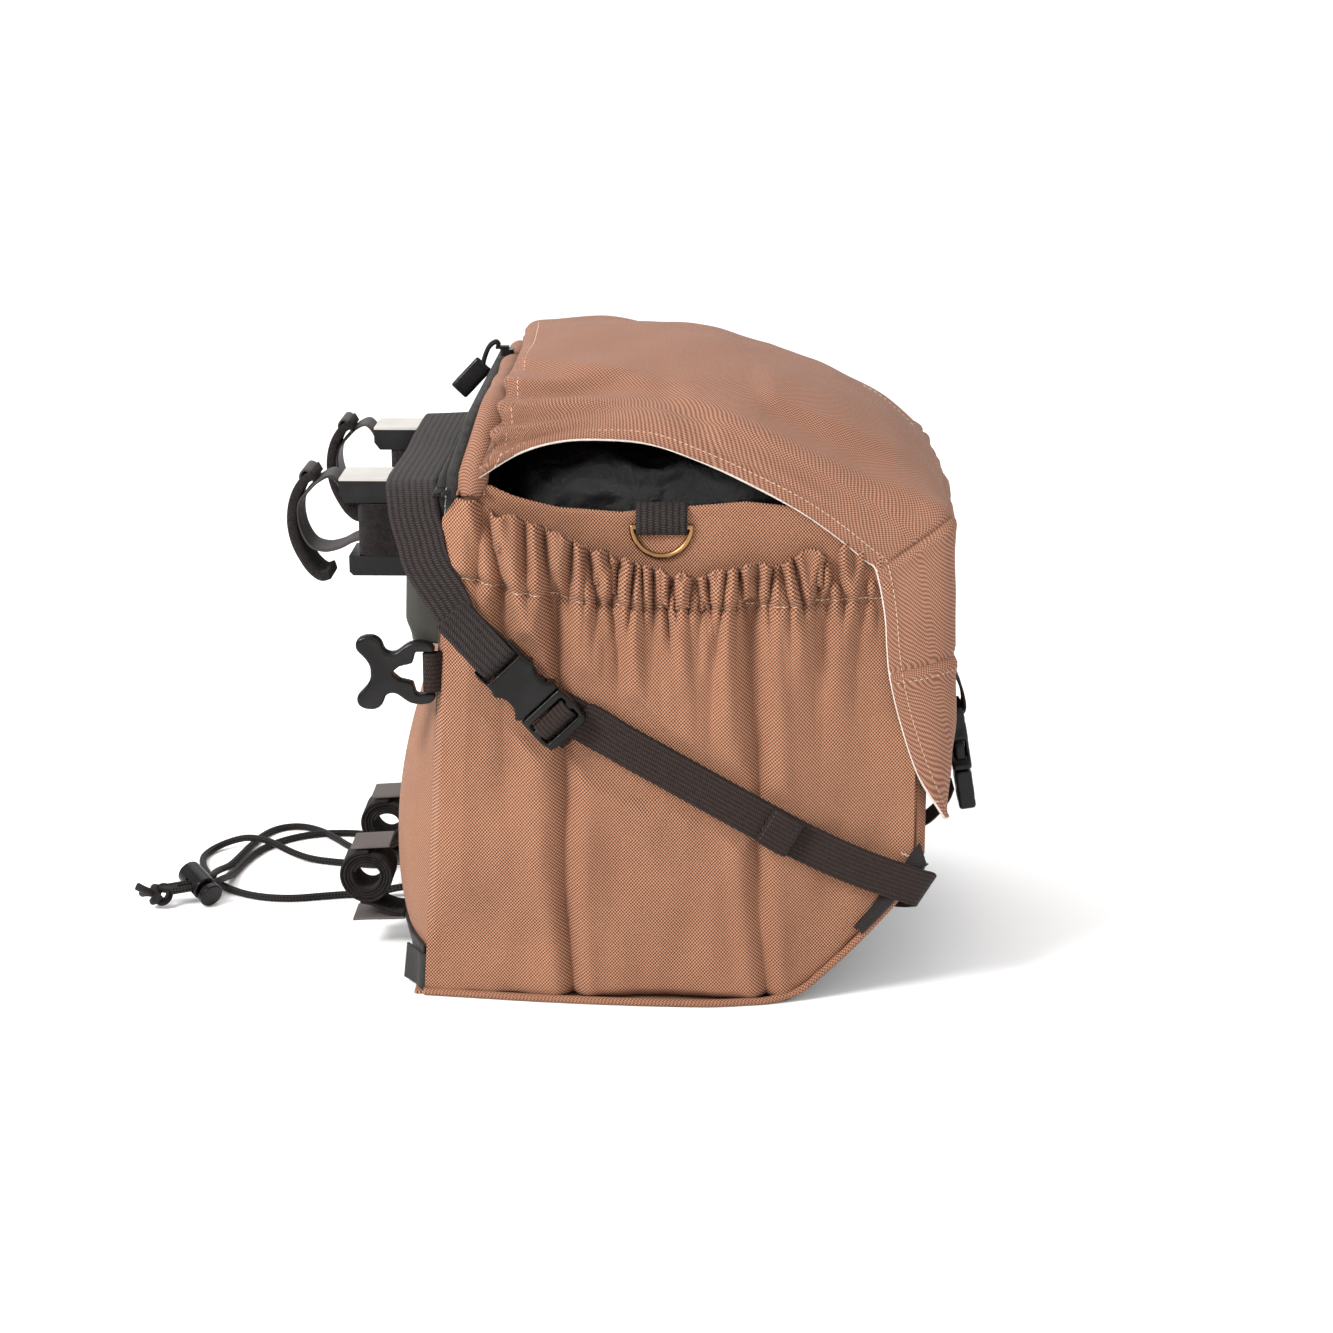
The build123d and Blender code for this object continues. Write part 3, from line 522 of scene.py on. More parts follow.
# ------------------------------------------------------------------ cords
KNOT = (5.6, 265.0, 8.3)
CORDS = {
    "a": ([(119, 123, 7), (119, 134, 7), (120.5, 148, 2.1), (125, 162, 2.1), (128.5, 177, 2.1),
           (127, 193, 2.1),
           (120.5, 207, 2.1), (108.5, 218.5, 2.1), (93, 226, 2.1), (76, 230, 2.1), (59, 232.5, 2.1),
           (44, 233.5, 4.5), (31, 234.5, 7.8), (18.3, 236.2, 10.2), (8.1, 247.2, 10.2), (5.2, 259, 9.2)],
          0.223, "knot"),
    "b": ([(83, 123, 7), (83, 134, 7), (84, 148, 2.1), (91, 162, 2.1), (104, 174, 2.1), (120, 184.5, 2.1),
           (134, 196, 2.1), (141, 208.5, 2.1), (136, 221, 2.1), (121, 228, 2.1), (103.5, 231.5, 2.1),
           (85, 234.5, 2.1), (68, 237.5, 2.1), (52, 239.5, 5.8), (36, 240, 9.6), (21.3, 239, 11.7),
           (11.1, 250, 11.7), (8.2, 261, 10.8)], 0.265, "knot"),
    "c": ([(71, 123, 7), (71, 134, 7), (71.3, 148, 2.1), (73, 163, 2.1), (76, 178, 2.1), (81, 193, 2.1),
           (87.5, 206, 4.2), (94.5, 218, 8.2), (102, 232, 8.2), (104.5, 244, 4.4), (97, 253, 2.1),
           (83, 256, 2.1), (68, 253, 2.1), (54, 247.5, 2.1), (41, 240.5, 2.1), (29.5, 231, 2.1),
           (20.5, 219.5, 2.1), (15.5, 206, 2.1), (15, 192, 2.1), (19, 178, 2.1), (22.5, 163.5, 2.1),
           (22.6, 149, 2.1), (23, 134, 7), (23, 123, 7)], 0.326, "object"),
}


def make_cords():
    knot = make_knot()
    for key, (points, length, end) in CORDS.items():
        curve = bpy.data.curves.new("bungee_cord_" + key, "CURVE")
        curve.dimensions = "3D"
        line = curve.splines.new("NURBS")
        line.points.add(len(points) - 1)
        for point, place in zip(line.points, points):
            point.co = (*[c * MM for c in place], 1)
        line.order_u = 3
        line.use_endpoint_u = True
        line.resolution_u = 10
        curve.bevel_depth = 0.002
        curve.bevel_resolution = 5
        curve.use_fill_caps = True
        obj = bpy.data.objects.new("bungee_cord_" + key, curve)
        bpy.context.scene.collection.objects.link(obj)
        curve.materials.append(CORD)
        put(obj, "pack", "cord", "bungee_" + key)


def make_knot():
    base = np.array(KNOT)
    turn = []
    for k in range(40):
        a = 2 * math.pi * k / 40 * 1.5 + 0.6
        radius = 4.2 + 1.6 * math.cos(1.333 * a)
        turn.append(base + (radius * math.cos(a), radius * math.sin(a) * 0.9,
                            3.2 * math.sin(1.333 * a) - 1.0))
    start = [(8.0, 255, 10.4), (7.2, 260, 9.6)]
    pieces = [put(tube("knot_turns", start + turn, 2.1, CORD, 150), "pack", "cord", "cord_knot")]
    for tag, places in (("a", ((-1, 2, 0), (-3.5, 7.5, 2.8), (-2.5, 12, 4.5))),
                        ("b", ((1, 1, -1.5), (3.5, 7.5, -1.5), (8, 11.5, -3.2)))):
        tail = tube("knot_tail_" + tag, [base + place for place in places], [2.0, 2.05, 2.3], CORD, 24)
        pieces.append(put(tail, "pack", "cord"))
    for name in ("lock_barrel", "lock_button"):
        dress(name, PLASTIC)
    dress("lock_spring", STEEL)
    return pieces + [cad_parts[name] for name in ("lock_barrel", "lock_spring", "lock_button")]


# ------------------------------------------------------------------ lid
LID_ROWS = [  # centre (y, z), corner (y, z) at the side, hem (x, y, z)
    ((62.5, 306), (68.5, 279.5), (116.6, 75.5, 265.5)),
    ((58, 316), (65, 283.5), (117, 72, 267.8)),
    ((44, 319.5), (49, 287), (116, 54, 278.5)),
    ((28, 320.6), (31, 289), (115, 35, 284)),
    ((10, 321), (12, 290), (114.5, 15, 285)),
    ((-12, 320.3), (-11, 289), (115, -9, 283)),
    ((-34, 318), (-33, 284.5), (116, -33, 275)),
    ((-60, 311.5), (-58, 279), (117, -57, 264)),
    ((-85, 303.5), (-85, 271), (117, -81, 251)),
    ((-110, 293.5), (-112, 262.5), (117, -99, 238.5)),
    ((-133, 279), (-137, 255), (117, -113, 227)),
    ((-156, 248.5), (-155, 247), (117, -119, 221)),
    ((-157.3, 225), (-157, 224), (117, -123.5, 200)),
    ((-157, 195), (-157, 196), (117, -125, 182)),
    ((-157, 176), (-157.3, 177), (117, -126.5, 169)),
    ((-157, 150), (-157, 150), (117, -132, 146)),
    ((-157.5, 120), (-157, 121), (117, -142, 117)),
    ((-157.5, 94), (-157, 95), (116, -155, 95.5)),
]
LID_SEAM, LID_SEAM_LOW = 11, 14
LID_NU, LID_NV = 190, 201


def lid_surface():
    rows = []
    for (cy, cz), (ky, kz), edge in LID_ROWS:
        c, k, e = np.array((cy, cz)), np.array((ky, kz)), np.array(edge, float)
        half = []
        for u in (0.0, 0.22, 0.42, 0.6, 0.75, 0.87, 0.95):
            y, z = c + (k - c) * u ** 2.4
            half.append((e[0] * u, y, z))
        drop = np.linalg.norm(e[1:] - k)
        corner = k + (e[1:] - k) * min(0.35, 6 / (drop + 1))
        half.append((e[0] * 0.992, *corner))
        for s in (0.5, 0.75):
            if drop > 16:
                half.append((e[0] + 1.2 * math.sin(math.pi * s), *(k + (e[1:] - k) * s)))
        half.append(tuple(e))
        half = spline(half, LID_NV // 2 + 1)
        other = half[::-1] * (-1, 1, 1)
        rows.append(np.vstack([other[:-1], half]))
    rows = np.array(rows)
    flat = rows.reshape(len(rows), -1)
    return spline(flat, LID_NU).reshape(LID_NU, LID_NV, 3), rows


def row_of(grid, rows, index):
    """The fine row that lies nearest to a station row."""
    return int(np.argmin([np.linalg.norm(g - rows[index]) for g in grid]))


def on_lid(piece, *nodes):
    """Lid fabric, sewn to the pack at its back seam: its placement is baked into the mesh and the CAD nodes it
    stands for are hidden.
    """
    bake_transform(piece)
    if nodes:
        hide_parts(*nodes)


def make_lid():
    grid, rows = lid_surface()
    up = normals(grid)
    up *= np.sign(up[LID_NU // 4, LID_NV // 2, 2])
    y, z, x = grid[:, :, 1], grid[:, :, 2], grid[:, :, 0]
    lift = rough_noise(grid, 95, 3) * 2.0 + rough_noise(grid, 38, 8) * 1.1 + rough_noise(grid, 17, 4) * 0.3
    for (y0, z0), (y1, z1), high, wide in (((72, 303), (-4, 311), 4.6, 3.4), ((73, 294), (0, 300), 5.2, 3.2),
                                           ((75, 284), (14, 294), 4.2, 2.8),
                                           ((66, 314), (-34, 305), 3.2, 4.2),
                                           ((-18, 302), (-122, 258), 3.6, 7.0),
                                           ((-36, 286), (-112, 246), 3.2, 5.5),
                                           ((-60, 300), (-140, 268), 3.0, 6.0)):
        along = (y - y0) / (y1 - y0)
        middle = z0 + (z1 - z0) * along
        gate = smoothstep(-0.05, 0.12, along) * (1 - smoothstep(0.45, 1.1, along)) * smoothstep(20, 50,
                                                                                                abs(x))
        away = z - middle
        lift += high * gate * np.exp(-(away / np.where(away > 0, 1.5 * wide, 0.45 * wide)) ** 2)
        lift -= 0.5 * high * gate * np.exp(-((away + 1.2 * wide) / (0.8 * wide)) ** 2)
    seam, low = row_of(grid, rows, LID_SEAM), row_of(grid, rows, LID_SEAM_LOW)
    index = np.arange(LID_NU)[:, None]
    for at in (seam, low):
        lift -= 1.6 * np.exp(-((index - at) / 0.9) ** 2)
        lift += 0.9 * np.exp(-((index - at - 2.4) / 1.6) ** 2)
    edge = np.minimum(np.arange(LID_NV), LID_NV - 1 - np.arange(LID_NV))[None, :]
    lift = lift * smoothstep(0, 12, edge + 2) * smoothstep(0, 5, index + 0.5)
    lift += 0.45 * np.exp(-((edge - 3.0) / 1.3) ** 2) - 0.35 * np.exp(-((edge - 5.2) / 0.8) ** 2)
    grid = grid + up * lift[:, :, None]
    front = grid[:, :, 1] < -158.6
    grid[:, :, 1] = np.where(front & (abs(abs(x) - BUCKLE_X) < 16), -158.0, grid[:, :, 1])
    lid = thicken(grid_mesh("lid_cloth", grid, CANVAS_LID), 1.5)
    on_lid(lid, "lid_top", "lid_flap")

    for side, column, inner in (("right", 0, 4), ("left", LID_NV - 1, LID_NV - 5)):
        on_lid(tube("lid_raw_edge_" + side, resample(grid[:, column], 120), 0.8, RAW_EDGE, 200, sides=8))
        line = resample(grid[1:-2, inner], 300)
        out = resample(up[1:-2, inner], 300)
        stitches("lid_hem_stitch_" + side, line + out * 0.75, out, "lid", 2.6, 0.45, 0.22)
        cols = range(2, 34) if side == "right" else range(LID_NV - 3, LID_NV - 35, -1)
        line = np.array([grid[low + 3, c] for c in cols])
        out = np.array([up[low + 3, c] for c in cols])
        stitches("lid_ear_stitch_" + side, line + out * 0.75, out, "lid", 1.6, 1.2, 0.22)
    put(tube("lid_front_edge", resample(grid[-1], 120), 0.8, RAW_EDGE, 200, sides=8), "lid", "canvas")
    line, out = resample(grid[7], 300), resample(up[7], 300)
    stitches("lid_back_stitch", line + out * 0.75, out, "lid", 2.6, 0.6, 0.24)
    line, out = resample(grid[-6], 300), resample(up[-6], 300)
    stitches("lid_front_stitch", line + out * 0.75, out, "lid", 2.6, 0.5, 0.24)
    line, out = grid[seam - 22:seam - 6, LID_NV // 2 + 20], up[seam - 22:seam - 6, LID_NV // 2 + 20]
    stitches("lid_dart_stitch", line + out * 0.8, out, "lid", 2.2, 0.8)


# ------------------------------------------------------------------ body of the pack
def back_y(z):
    share = np.clip(np.asarray(z, float) / 190, 0, 1)
    return 111 - 16 * share + 22 * np.sin(np.pi * share ** 0.8)


def seam_y(z):
    return np.interp(z, [0, 246, 262, 300], [105, 91, 80, 66])


def under_z(y):
    return np.maximum(0, 72 / 81 * (-65 - np.asarray(y, float)))


def sag_z(y):
    """Height of the sagging lower edge, below the stiff line of the underside."""
    share = np.clip((-58 - np.asarray(y, float)) / 84, 0, 1)
    return np.maximum(1.9, under_z(y) + 2 - 12.5 * np.sin(np.pi * share ** 0.8) ** 0.8 - 4 * share)


def side_top(y):
    return np.interp(y, [-146, -100, -55, -25, 5, 35, 60, 78, 92],
                     [238, 250, 254.5, 252, 249, 251, 257, 262, 262])


def make_body():
    for side, sign in SIDES:
        ys = np.linspace(FRONT_Y, SIDE_BACK_Y, 150)
        rows = []
        for v in np.linspace(0, 1, 90):
            low = under_z(ys) + 2
            z = low + (side_top(ys) - low) * v
            y = ys + (seam_y(z) - SIDE_BACK_Y) * smoothstep(40, SIDE_BACK_Y, ys)
            edge = np.minimum(ys - FRONT_Y, SIDE_BACK_Y - ys)
            x = 112.3 + 1.6 * np.sin(np.pi * v) - 5 * (1 - smoothstep(0, 12, edge)) ** 2
            x += 0.9 * np.exp(-((1 - v) / 0.02) ** 2)
            rows.append(np.stack([sign * x, y, z], 1))
        rows = np.array(rows)
        rows[:, :, 0] += sign * (rough_noise(rows, 42, 4) * 1.1 + rough_noise(rows, 16, 9) * 0.4)
        rows[:, :, 0] = np.sign(rows[:, :, 0]) * np.minimum(abs(rows[:, :, 0]), 114.2)
        pack_cloth("side_cloth_" + side, rows, CANVAS, 1.2, "canvas", "side_panel_" + side,
                   flat=(rows[:, :, 1], rows[:, :, 2]))

    zs = np.linspace(2, 190, 90)
    xs = np.linspace(-SIDE_X, SIDE_X, 120)
    rows = []
    for z in zs:
        reach = (back_y(z) - seam_y(z)) * (1 - abs(xs / SIDE_X) ** 3.2)
        x = xs * (1 + 0.012 * np.sin(np.pi * z / 190))
        rows.append(np.stack([x, seam_y(z) + reach, np.full_like(xs, z)], 1))
    rows = np.array(rows)
    rows[:, :, 1] += rough_noise(rows, 60, 2) * 1.4 * (1 - abs(xs / SIDE_X) ** 4)[None]
    pack_cloth("back_cloth", rows, CANVAS, 1.2, "canvas", "back_panel")

    rows = []
    for z in np.linspace(66, 240, 70):
        y = FRONT_Y + rough_noise(np.stack([xs, xs * 0, xs * 0 + z], 1)[None], 60, 6)[0] * 1.0
        rows.append(np.stack([xs, y + 5 * (abs(xs) / SIDE_X) ** 12, np.full_like(xs, z)], 1))
    pack_cloth("front_cloth", rows, CANVAS, 1.2, "canvas", "front_panel")

    rows = []
    for s in np.linspace(0, 1, 40):
        y = -60 - 86 * s
        bulge = 4 * math.sin(math.pi * s) * (1 - abs(xs / SIDE_X) ** 6)
        rows.append(np.stack([xs / SIDE_X * (foot_x(y) - 1.5), y - bulge * 0.66,
                              np.maximum(0.9, sag_z(y) - 1 - bulge * 0.74)], 1))
    rows = np.array(rows)
    rows[:, :, 1] += rough_noise(rows, 30, 5) * 0.7
    pack_cloth("underside_cloth", rows, BLACK_CLOTH, 1.2, "black_fabric", "underside_panel")

    rows = [np.stack([xs / SIDE_X * (foot_x(y) - 1), np.full_like(xs, y), np.full_like(xs, 0.9)], 1)
            for y in np.linspace(-65, 111, 40)]
    pack_cloth("base_cloth", rows, CANVAS, 1.2, "canvas", "base_panel")

    rows = []
    for z in np.linspace(0.6, 25, 14):
        face = seam_y(z) + (back_y(z) - seam_y(z)) * (1 - abs(xs / SIDE_X) ** 3.2)
        rows.append(np.stack([xs * 1.03, face + 1.4 + 0.3 * np.sin(xs / 3), np.full_like(xs, z)], 1))
    pack_cloth("base_band", rows, BLACK_CLOTH, 1.6, "black_fabric", "base_back_band")

    for side, sign in SIDES:
        rows = []
        for z in np.linspace(2.5, 21, 18):
            path = [(117.4, 102.2), (118.0, 103.4), (117.6, 105.5), (115.5, 108), (110, 110.5),
                    (100, seam_y(z) + 13)]
            line = spline(path, 26)
            rows.append(np.stack([sign * line[:, 0], line[:, 1] + (seam_y(z) - 105), np.full(26, z)], 1))
        pack_cloth("corner_patch_" + side, rows, BLACK_CLOTH, 1.3, "black_fabric",
                   *on_right(side, "corner_binding"))
        edge = [(sign * foot_x(y), y, sag_z(y) + 0.1) for y in (106, 80, 50, 20, -10, -40, -56, -68, -84,
                                                                -98, -112, -128, -141)]
        piece = tube("piping_" + side, edge, 1.9, CANVAS, 160)
        put(piece, "pack", "canvas", *on_right(side, "edge_piping"))
        # Painted shade: a dark tube along each side seam stands in for the shadow in the crease at the rear edge
        # of the pocket.
        seam = [(sign * (114.2 + 0.25 * math.sin(z / 5)), seam_y(z) + 0.2, z) for z in np.linspace(22, 190,
                                                                                                   24)]
        put(tube("side_seam_shadow_" + side, seam, 0.6, DARK_THREAD_AND_SEAM_SHADOW, 120, sides=8), "pack", "canvas")
        lip = []
        for s in np.linspace(0, 1, 30):
            y = -145 + 32 * s
            z = sag_z(y) + 2
            lip.append([(sign * 117, y - 2.5, z + 0.5), (sign * 121.2, y - 1.4, z + 2),
                        (sign * 121.5, y, z + 6),
                        (sign * 120.4, y + 1, z + 9 - 5 * s), (sign * 118.6, y + 2, z + 12 - 8 * s)])
        lip = np.array([spline(r, 14) for r in lip])
        pack_cloth("underside_lip_" + side, lip, BLACK_CLOTH, 0.8, "black_fabric")


def make_liner():
    """A crumpled nylon collar inside the rim, open at the top, with the lined space below it."""
    count = 240
    angle = np.linspace(0, 2 * np.pi, count, endpoint=False)
    cx, cy = np.cos(angle), np.sin(angle)
    square = (abs(cx) ** 5 + abs(cy) ** 5) ** (-1 / 5)

    def ring(half_x, mid_y, half_y, z):
        return np.stack([half_x * cx * square, mid_y + half_y * cy * square, np.full(count, float(z))], 1)

    levels = [ring(40, 14, 50, 6.5), ring(100, 14, 76, 6.5), ring(104, 0, 96, 30), ring(106, -26, 112, 90),
              ring(107, -33, 106, 180), ring(107, -33, 104, 232), ring(110.5, -33, 103, 248),
              ring(113.2, -33, 102, 256),
              ring(112, -33, 100, 264),
              ring(107, -33, 97, 273), ring(97, -33, 90, 281), ring(84, -34, 76, 285), ring(72, -35, 64, 286)]
    rows = np.array([spline(np.array([lev[k] for lev in levels]), 110) for k in range(count)]).transpose(1,
                                                                                                         0, 2)
    height = rows[:, :, 2]
    amount = smoothstep(236, 262, height) * 8.5
    bump = rough_noise(rows * (1, 1, 1.6), 30, 1) + 0.5 * rough_noise(rows, 13, 5)
    fold = 1 - 2 * np.abs(rough_noise(rows * (1, 1, 2.2), 46, 7))
    out = np.array(rows)
    out[:, :, 2] += amount * (0.5 * bump + 0.6 * fold) - amount * 0.5
    inward = 1 - 0.035 * smoothstep(236, 262, height) * (1 + fold * 0.8 + bump * 0.6)
    out[:, :, 0] *= inward
    lid_roof = 318 - 40 * np.abs(out[:, :, 0] / 117) ** 2.4 - np.maximum(0, (-30 - out[:, :, 1])) * 0.42 - 6
    out[:, :, 2] = np.minimum(out[:, :, 2], lid_roof)
    pack_cloth("liner_collar", out, LINER, 0.5, "liner_fabric", "liner", wrap=True)


# ------------------------------------------------------------------ gathered side pockets
def strap_line_gap(y, z):
    """How far (y, z) is from the middle of the diagonal strap, seen from the side."""
    along = np.array((-0.868, -0.496))
    rel = np.stack([y - 38, z - 155.3], -1)
    return abs(rel[..., 0] * along[1] - rel[..., 1] * along[0])


def foot_x(y):
    """Half width of the bulging lower edge of a side."""
    return np.interp(y, [-141, -118, -96, -78, -62, -40, -10, 20, 50, 80, 106],
                     [117.5, 118.6, 120.5, 124.5, 129, 132, 131.5, 129.5, 126.5, 122.5, 119])


PLEATS = [  # y at the rim, y at the floor, depth at the stitch line and at the floor, half width
    (36, 31, 13.5, 6.0, 5.4), (-58, -66, 13.0, 5.0, 5.4), (64, 58, 5.0, 0.0, 4.5), (-13, -26, 6.0, 0.0, 5.0),
    (-92, -96, 5.0, 0.0, 4.5), (14, 22, 4.4, 0.0, 5.0), (-36, -48, 5.5, 0.0, 4.6),
]


def make_pockets():
    nv, nu = 420, 210
    for side, sign in SIDES:
        random = np.random.default_rng(11)
        y0 = np.linspace(-140, 91, nv)
        top = spline([(-140, 226), (-112, 228), (-90, 224), (-60, 218.5), (-28, 213.5), (10, 223), (40, 235),
                      (60, 242), (78, 247), (91, 247)], 400)
        hem = spline([(-140, 206), (-113, 207.3), (-60, 204.5), (-4, 204.5), (40, 209), (83, 218.2),
                      (91, 219.5)], 400)
        folds, y = [], -132.0
        while y < 86:
            crowd = np.interp(y, [-132, -70, -45, 0, 25, 60, 86], [9.0, 6.6, 5.4, 5.6, 7.0, 11.0, 13.0])
            folds.append((y, random.uniform(3.4, 7.4), random.uniform(0.20, 0.34) * crowd,
                          random.uniform(-5, 5),
                          random.uniform(9, 46), random.uniform(-8, 8)))
            y += crowd * random.uniform(0.75, 1.3)
        rim_z = np.interp(y0, top[:, 0], top[:, 1])
        hem_z = np.interp(y0, hem[:, 0], hem[:, 1])
        for c, deep, wide, lean, reach, drift in folds:
            rim_z = rim_z - 0.55 * deep * np.exp(-((y0 - c - lean) / (1.5 * wide)) ** 2) + 0.25
        rows = []
        for v in np.linspace(0, 1, nu):
            low = sag_z(y0) + 1.3
            z = low + (rim_z - low) * v
            y = y0 + (seam_y(z) + 0.5 - 91) * smoothstep(30, 91, y0)
            plan = np.interp(y0, [-140, -118, -106, -88, -68, -20, 45, 76, 87, 91],
                             [113.5, 115.2, 118, 122.5, 126, 128, 128, 125.5, 120.5, 113.4])
            rise = np.interp(z, [0, 28, 60, 150, 200, 215, 230, 250],
                             [119.5, 123, 126.5, 127, 125.5, 124, 122.5, 121])
            base = 112.5 + (plan - 112.5) * (rise - 112.5) / 13.5
            foot = foot_x(y) - 1.5
            base = base + (foot - base) * (1 - smoothstep(8, 78, z - low)) * smoothstep(-2, 10, z - low + 4)
            ends = smoothstep(0, 7, np.minimum(y0 + 140, 91 - y0))
            near = z - hem_z
            x = np.array(base)
            for c, deep, wide, lean, reach, drift in folds:
                above = np.maximum(near, 0)
                below = np.maximum(-near, 0)
                middle = c + lean * above / 18 + drift * below / 70
                size = deep * ends * np.exp(-below / reach) * (1 + 0.02 * above)
                span = wide * (1 + below / 22)
                gone = abs(y - middle) / span
                x -= size * np.exp(-gone ** 1.25) - 0.36 * size * np.exp(-((gone - 2.1) / 1.1) ** 2)
            x -= 2.6 * np.exp(-(near / 2.4) ** 2) * ends
            x += 1.6 * np.exp(-((near - 6.5) / 4.0) ** 2) * ends
            share = np.clip(z / 205, 0, 1)
            for at_top, at_low, deep, foot_deep, narrow in PLEATS:
                middle = at_low + (at_top - at_low) * share + 1.2 * np.sin(z / 19 + at_top)
                depth = foot_deep + (deep - foot_deep) * share ** (1.6 if foot_deep else 3.2)
                depth = depth * (1 - smoothstep(208, 226, z)) * ends
                span = narrow * (0.7 + 0.6 * share)
                gone = (y - middle) / span
                x -= depth * np.exp(-abs(gone) ** 1.3)
                x += 0.30 * depth * (np.exp(-((gone - 2.0) / 1.2) ** 2) + np.exp(-((gone + 2.0) / 1.2) ** 2))
            rows.append(np.stack([x, y, z], 1))
        rows = np.array(rows)
        rows[:, :, 0] += rough_noise(rows, 52, 3 + sign) * 2.2 + rough_noise(rows * (1, 1.5, 0.8), 22,
                                                                             6) * 1.1
        gap = strap_line_gap(rows[:, :, 1], rows[:, :, 2])
        behind = smoothstep(60, 74, rows[:, :, 1]) * smoothstep(160, 190, rows[:, :, 2])
        buckle = smoothstep(-24, -4, rows[:, :, 1]) * (1 - smoothstep(190, 205, rows[:, :, 2]))
        cap = 125.5 + 12 * smoothstep(0, 1, (gap - 12 - 6 * buckle) / 19) * (1 - 0.75 * behind)
        cap = np.where(rows[:, :, 1] < -100, np.minimum(cap, 125.6), cap)
        rows[:, :, 0] = cap - np.logaddexp(0, (cap - rows[:, :, 0]) / 0.9) * 0.9
        floor_x = 113.4 + 0.6 * smoothstep(0, 40, rows[:, :, 2])
        rows[:, :, 0] = floor_x + np.maximum(rows[:, :, 0] - floor_x, 0)
        last = rows[-1]
        inner = [last + (-1.3, 0, 0.7), last + (-2.6, 0, -0.6), last + (-2.9, 0, -6), last + (-2.5, 0, -16)]
        inner = [np.stack([np.maximum(r[:, 0], 112.9), r[:, 1], r[:, 2]], 1) for r in inner]
        full = np.concatenate([rows, np.array(inner)])
        full = full * (sign, 1, 1)
        piece = pack_cloth("pocket_cloth_" + side, full, CANVAS, 1.0, "canvas", "side_pocket_" + side,
                           flat=(full[:, :, 1], full[:, :, 2]))
        if side == "right":
            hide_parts("pocket_elastics")
        k = [int(np.argmin(abs(rows[:, j, 2] - hem_z[j]))) for j in range(nv)]
        line = np.array([rows[k[j], j] for j in range(4, nv - 3)]) * (sign, 1, 1)
        out = np.tile((sign, 0.0, 0.15), (len(line), 1))
        stitches("pocket_stitch_" + side, line + out * 1.0, out, "pack", 3.0, 0.4, 0.3)


# ------------------------------------------------------------------ padded back, zip and gusset
def make_pad():
    """The foam back pad: the CAD solid remeshed, inflated by the cloth solver and smoothed."""
    most_move, last_step = 0.0016, 14
    piece = remeshed("back_pad_foam", "back_pad", 0.004, 7)
    bpy.context.view_layer.objects.active = piece
    rest = np.array([tuple(v.co) for v in piece.data.vertices])
    cloth = piece.modifiers.new("cloth", "CLOTH")
    cloth.settings.use_pressure = True
    cloth.settings.uniform_pressure_force = 3.0
    cloth.settings.effector_weights.gravity = 0
    cloth.settings.tension_stiffness = 30
    cloth.settings.compression_stiffness = 30
    scene = bpy.context.scene
    scene.frame_start, scene.frame_end = 1, last_step
    for step in range(1, last_step + 1):
        scene.frame_set(step)
    apply_all(piece)
    scene.frame_set(1)
    move = np.array([tuple(v.co) for v in piece.data.vertices]) - rest
    size = np.linalg.norm(move, axis=1, keepdims=True) + 1e-9
    piece.data.vertices.foreach_set("co", (rest + move * np.minimum(1, most_move / size)).ravel())
    mod = piece.modifiers.new("smoother", "SUBSURF")
    mod.levels = mod.render_levels = 1
    put(finish_mesh(piece, PAD), "pack", "pad", "back_pad")


def arch(half, top, corner, low, count):
    """Points (x, z) up one side, over a big corner, across and down again."""
    points = [(-half, low), (-half, low + 20), (-half, top - corner - 6)]
    points += [(-half + corner * (1 - math.cos(a)), top - corner + corner * math.sin(a))
               for a in np.linspace(0.12, math.pi / 2 - 0.06, 8)]
    points = points + [(0, top)] + [(-x, z) for x, z in points[::-1]]
    return resample(np.array(points, float), count)


def arch_sheet(offsets, half, top, corner, low, count=220):
    """Sweep a profile of (outward, y at the top, y at z = 268, y at the foot) along the arch."""
    line = arch(half, top, corner, low, count)
    along = np.gradient(line, axis=0)
    along /= np.linalg.norm(along, axis=1, keepdims=True)
    out = np.stack([-along[:, 1], along[:, 0]], 1)
    rows = []
    for reach, y_top, y_mid, y_low in offsets:
        spot = line + out * reach
        y = np.interp(line[:, 1], [low, 268, 300], [y_low, y_mid, y_top])
        rows.append(np.stack([spot[:, 0], y, spot[:, 1]], 1))
    return np.array(rows)


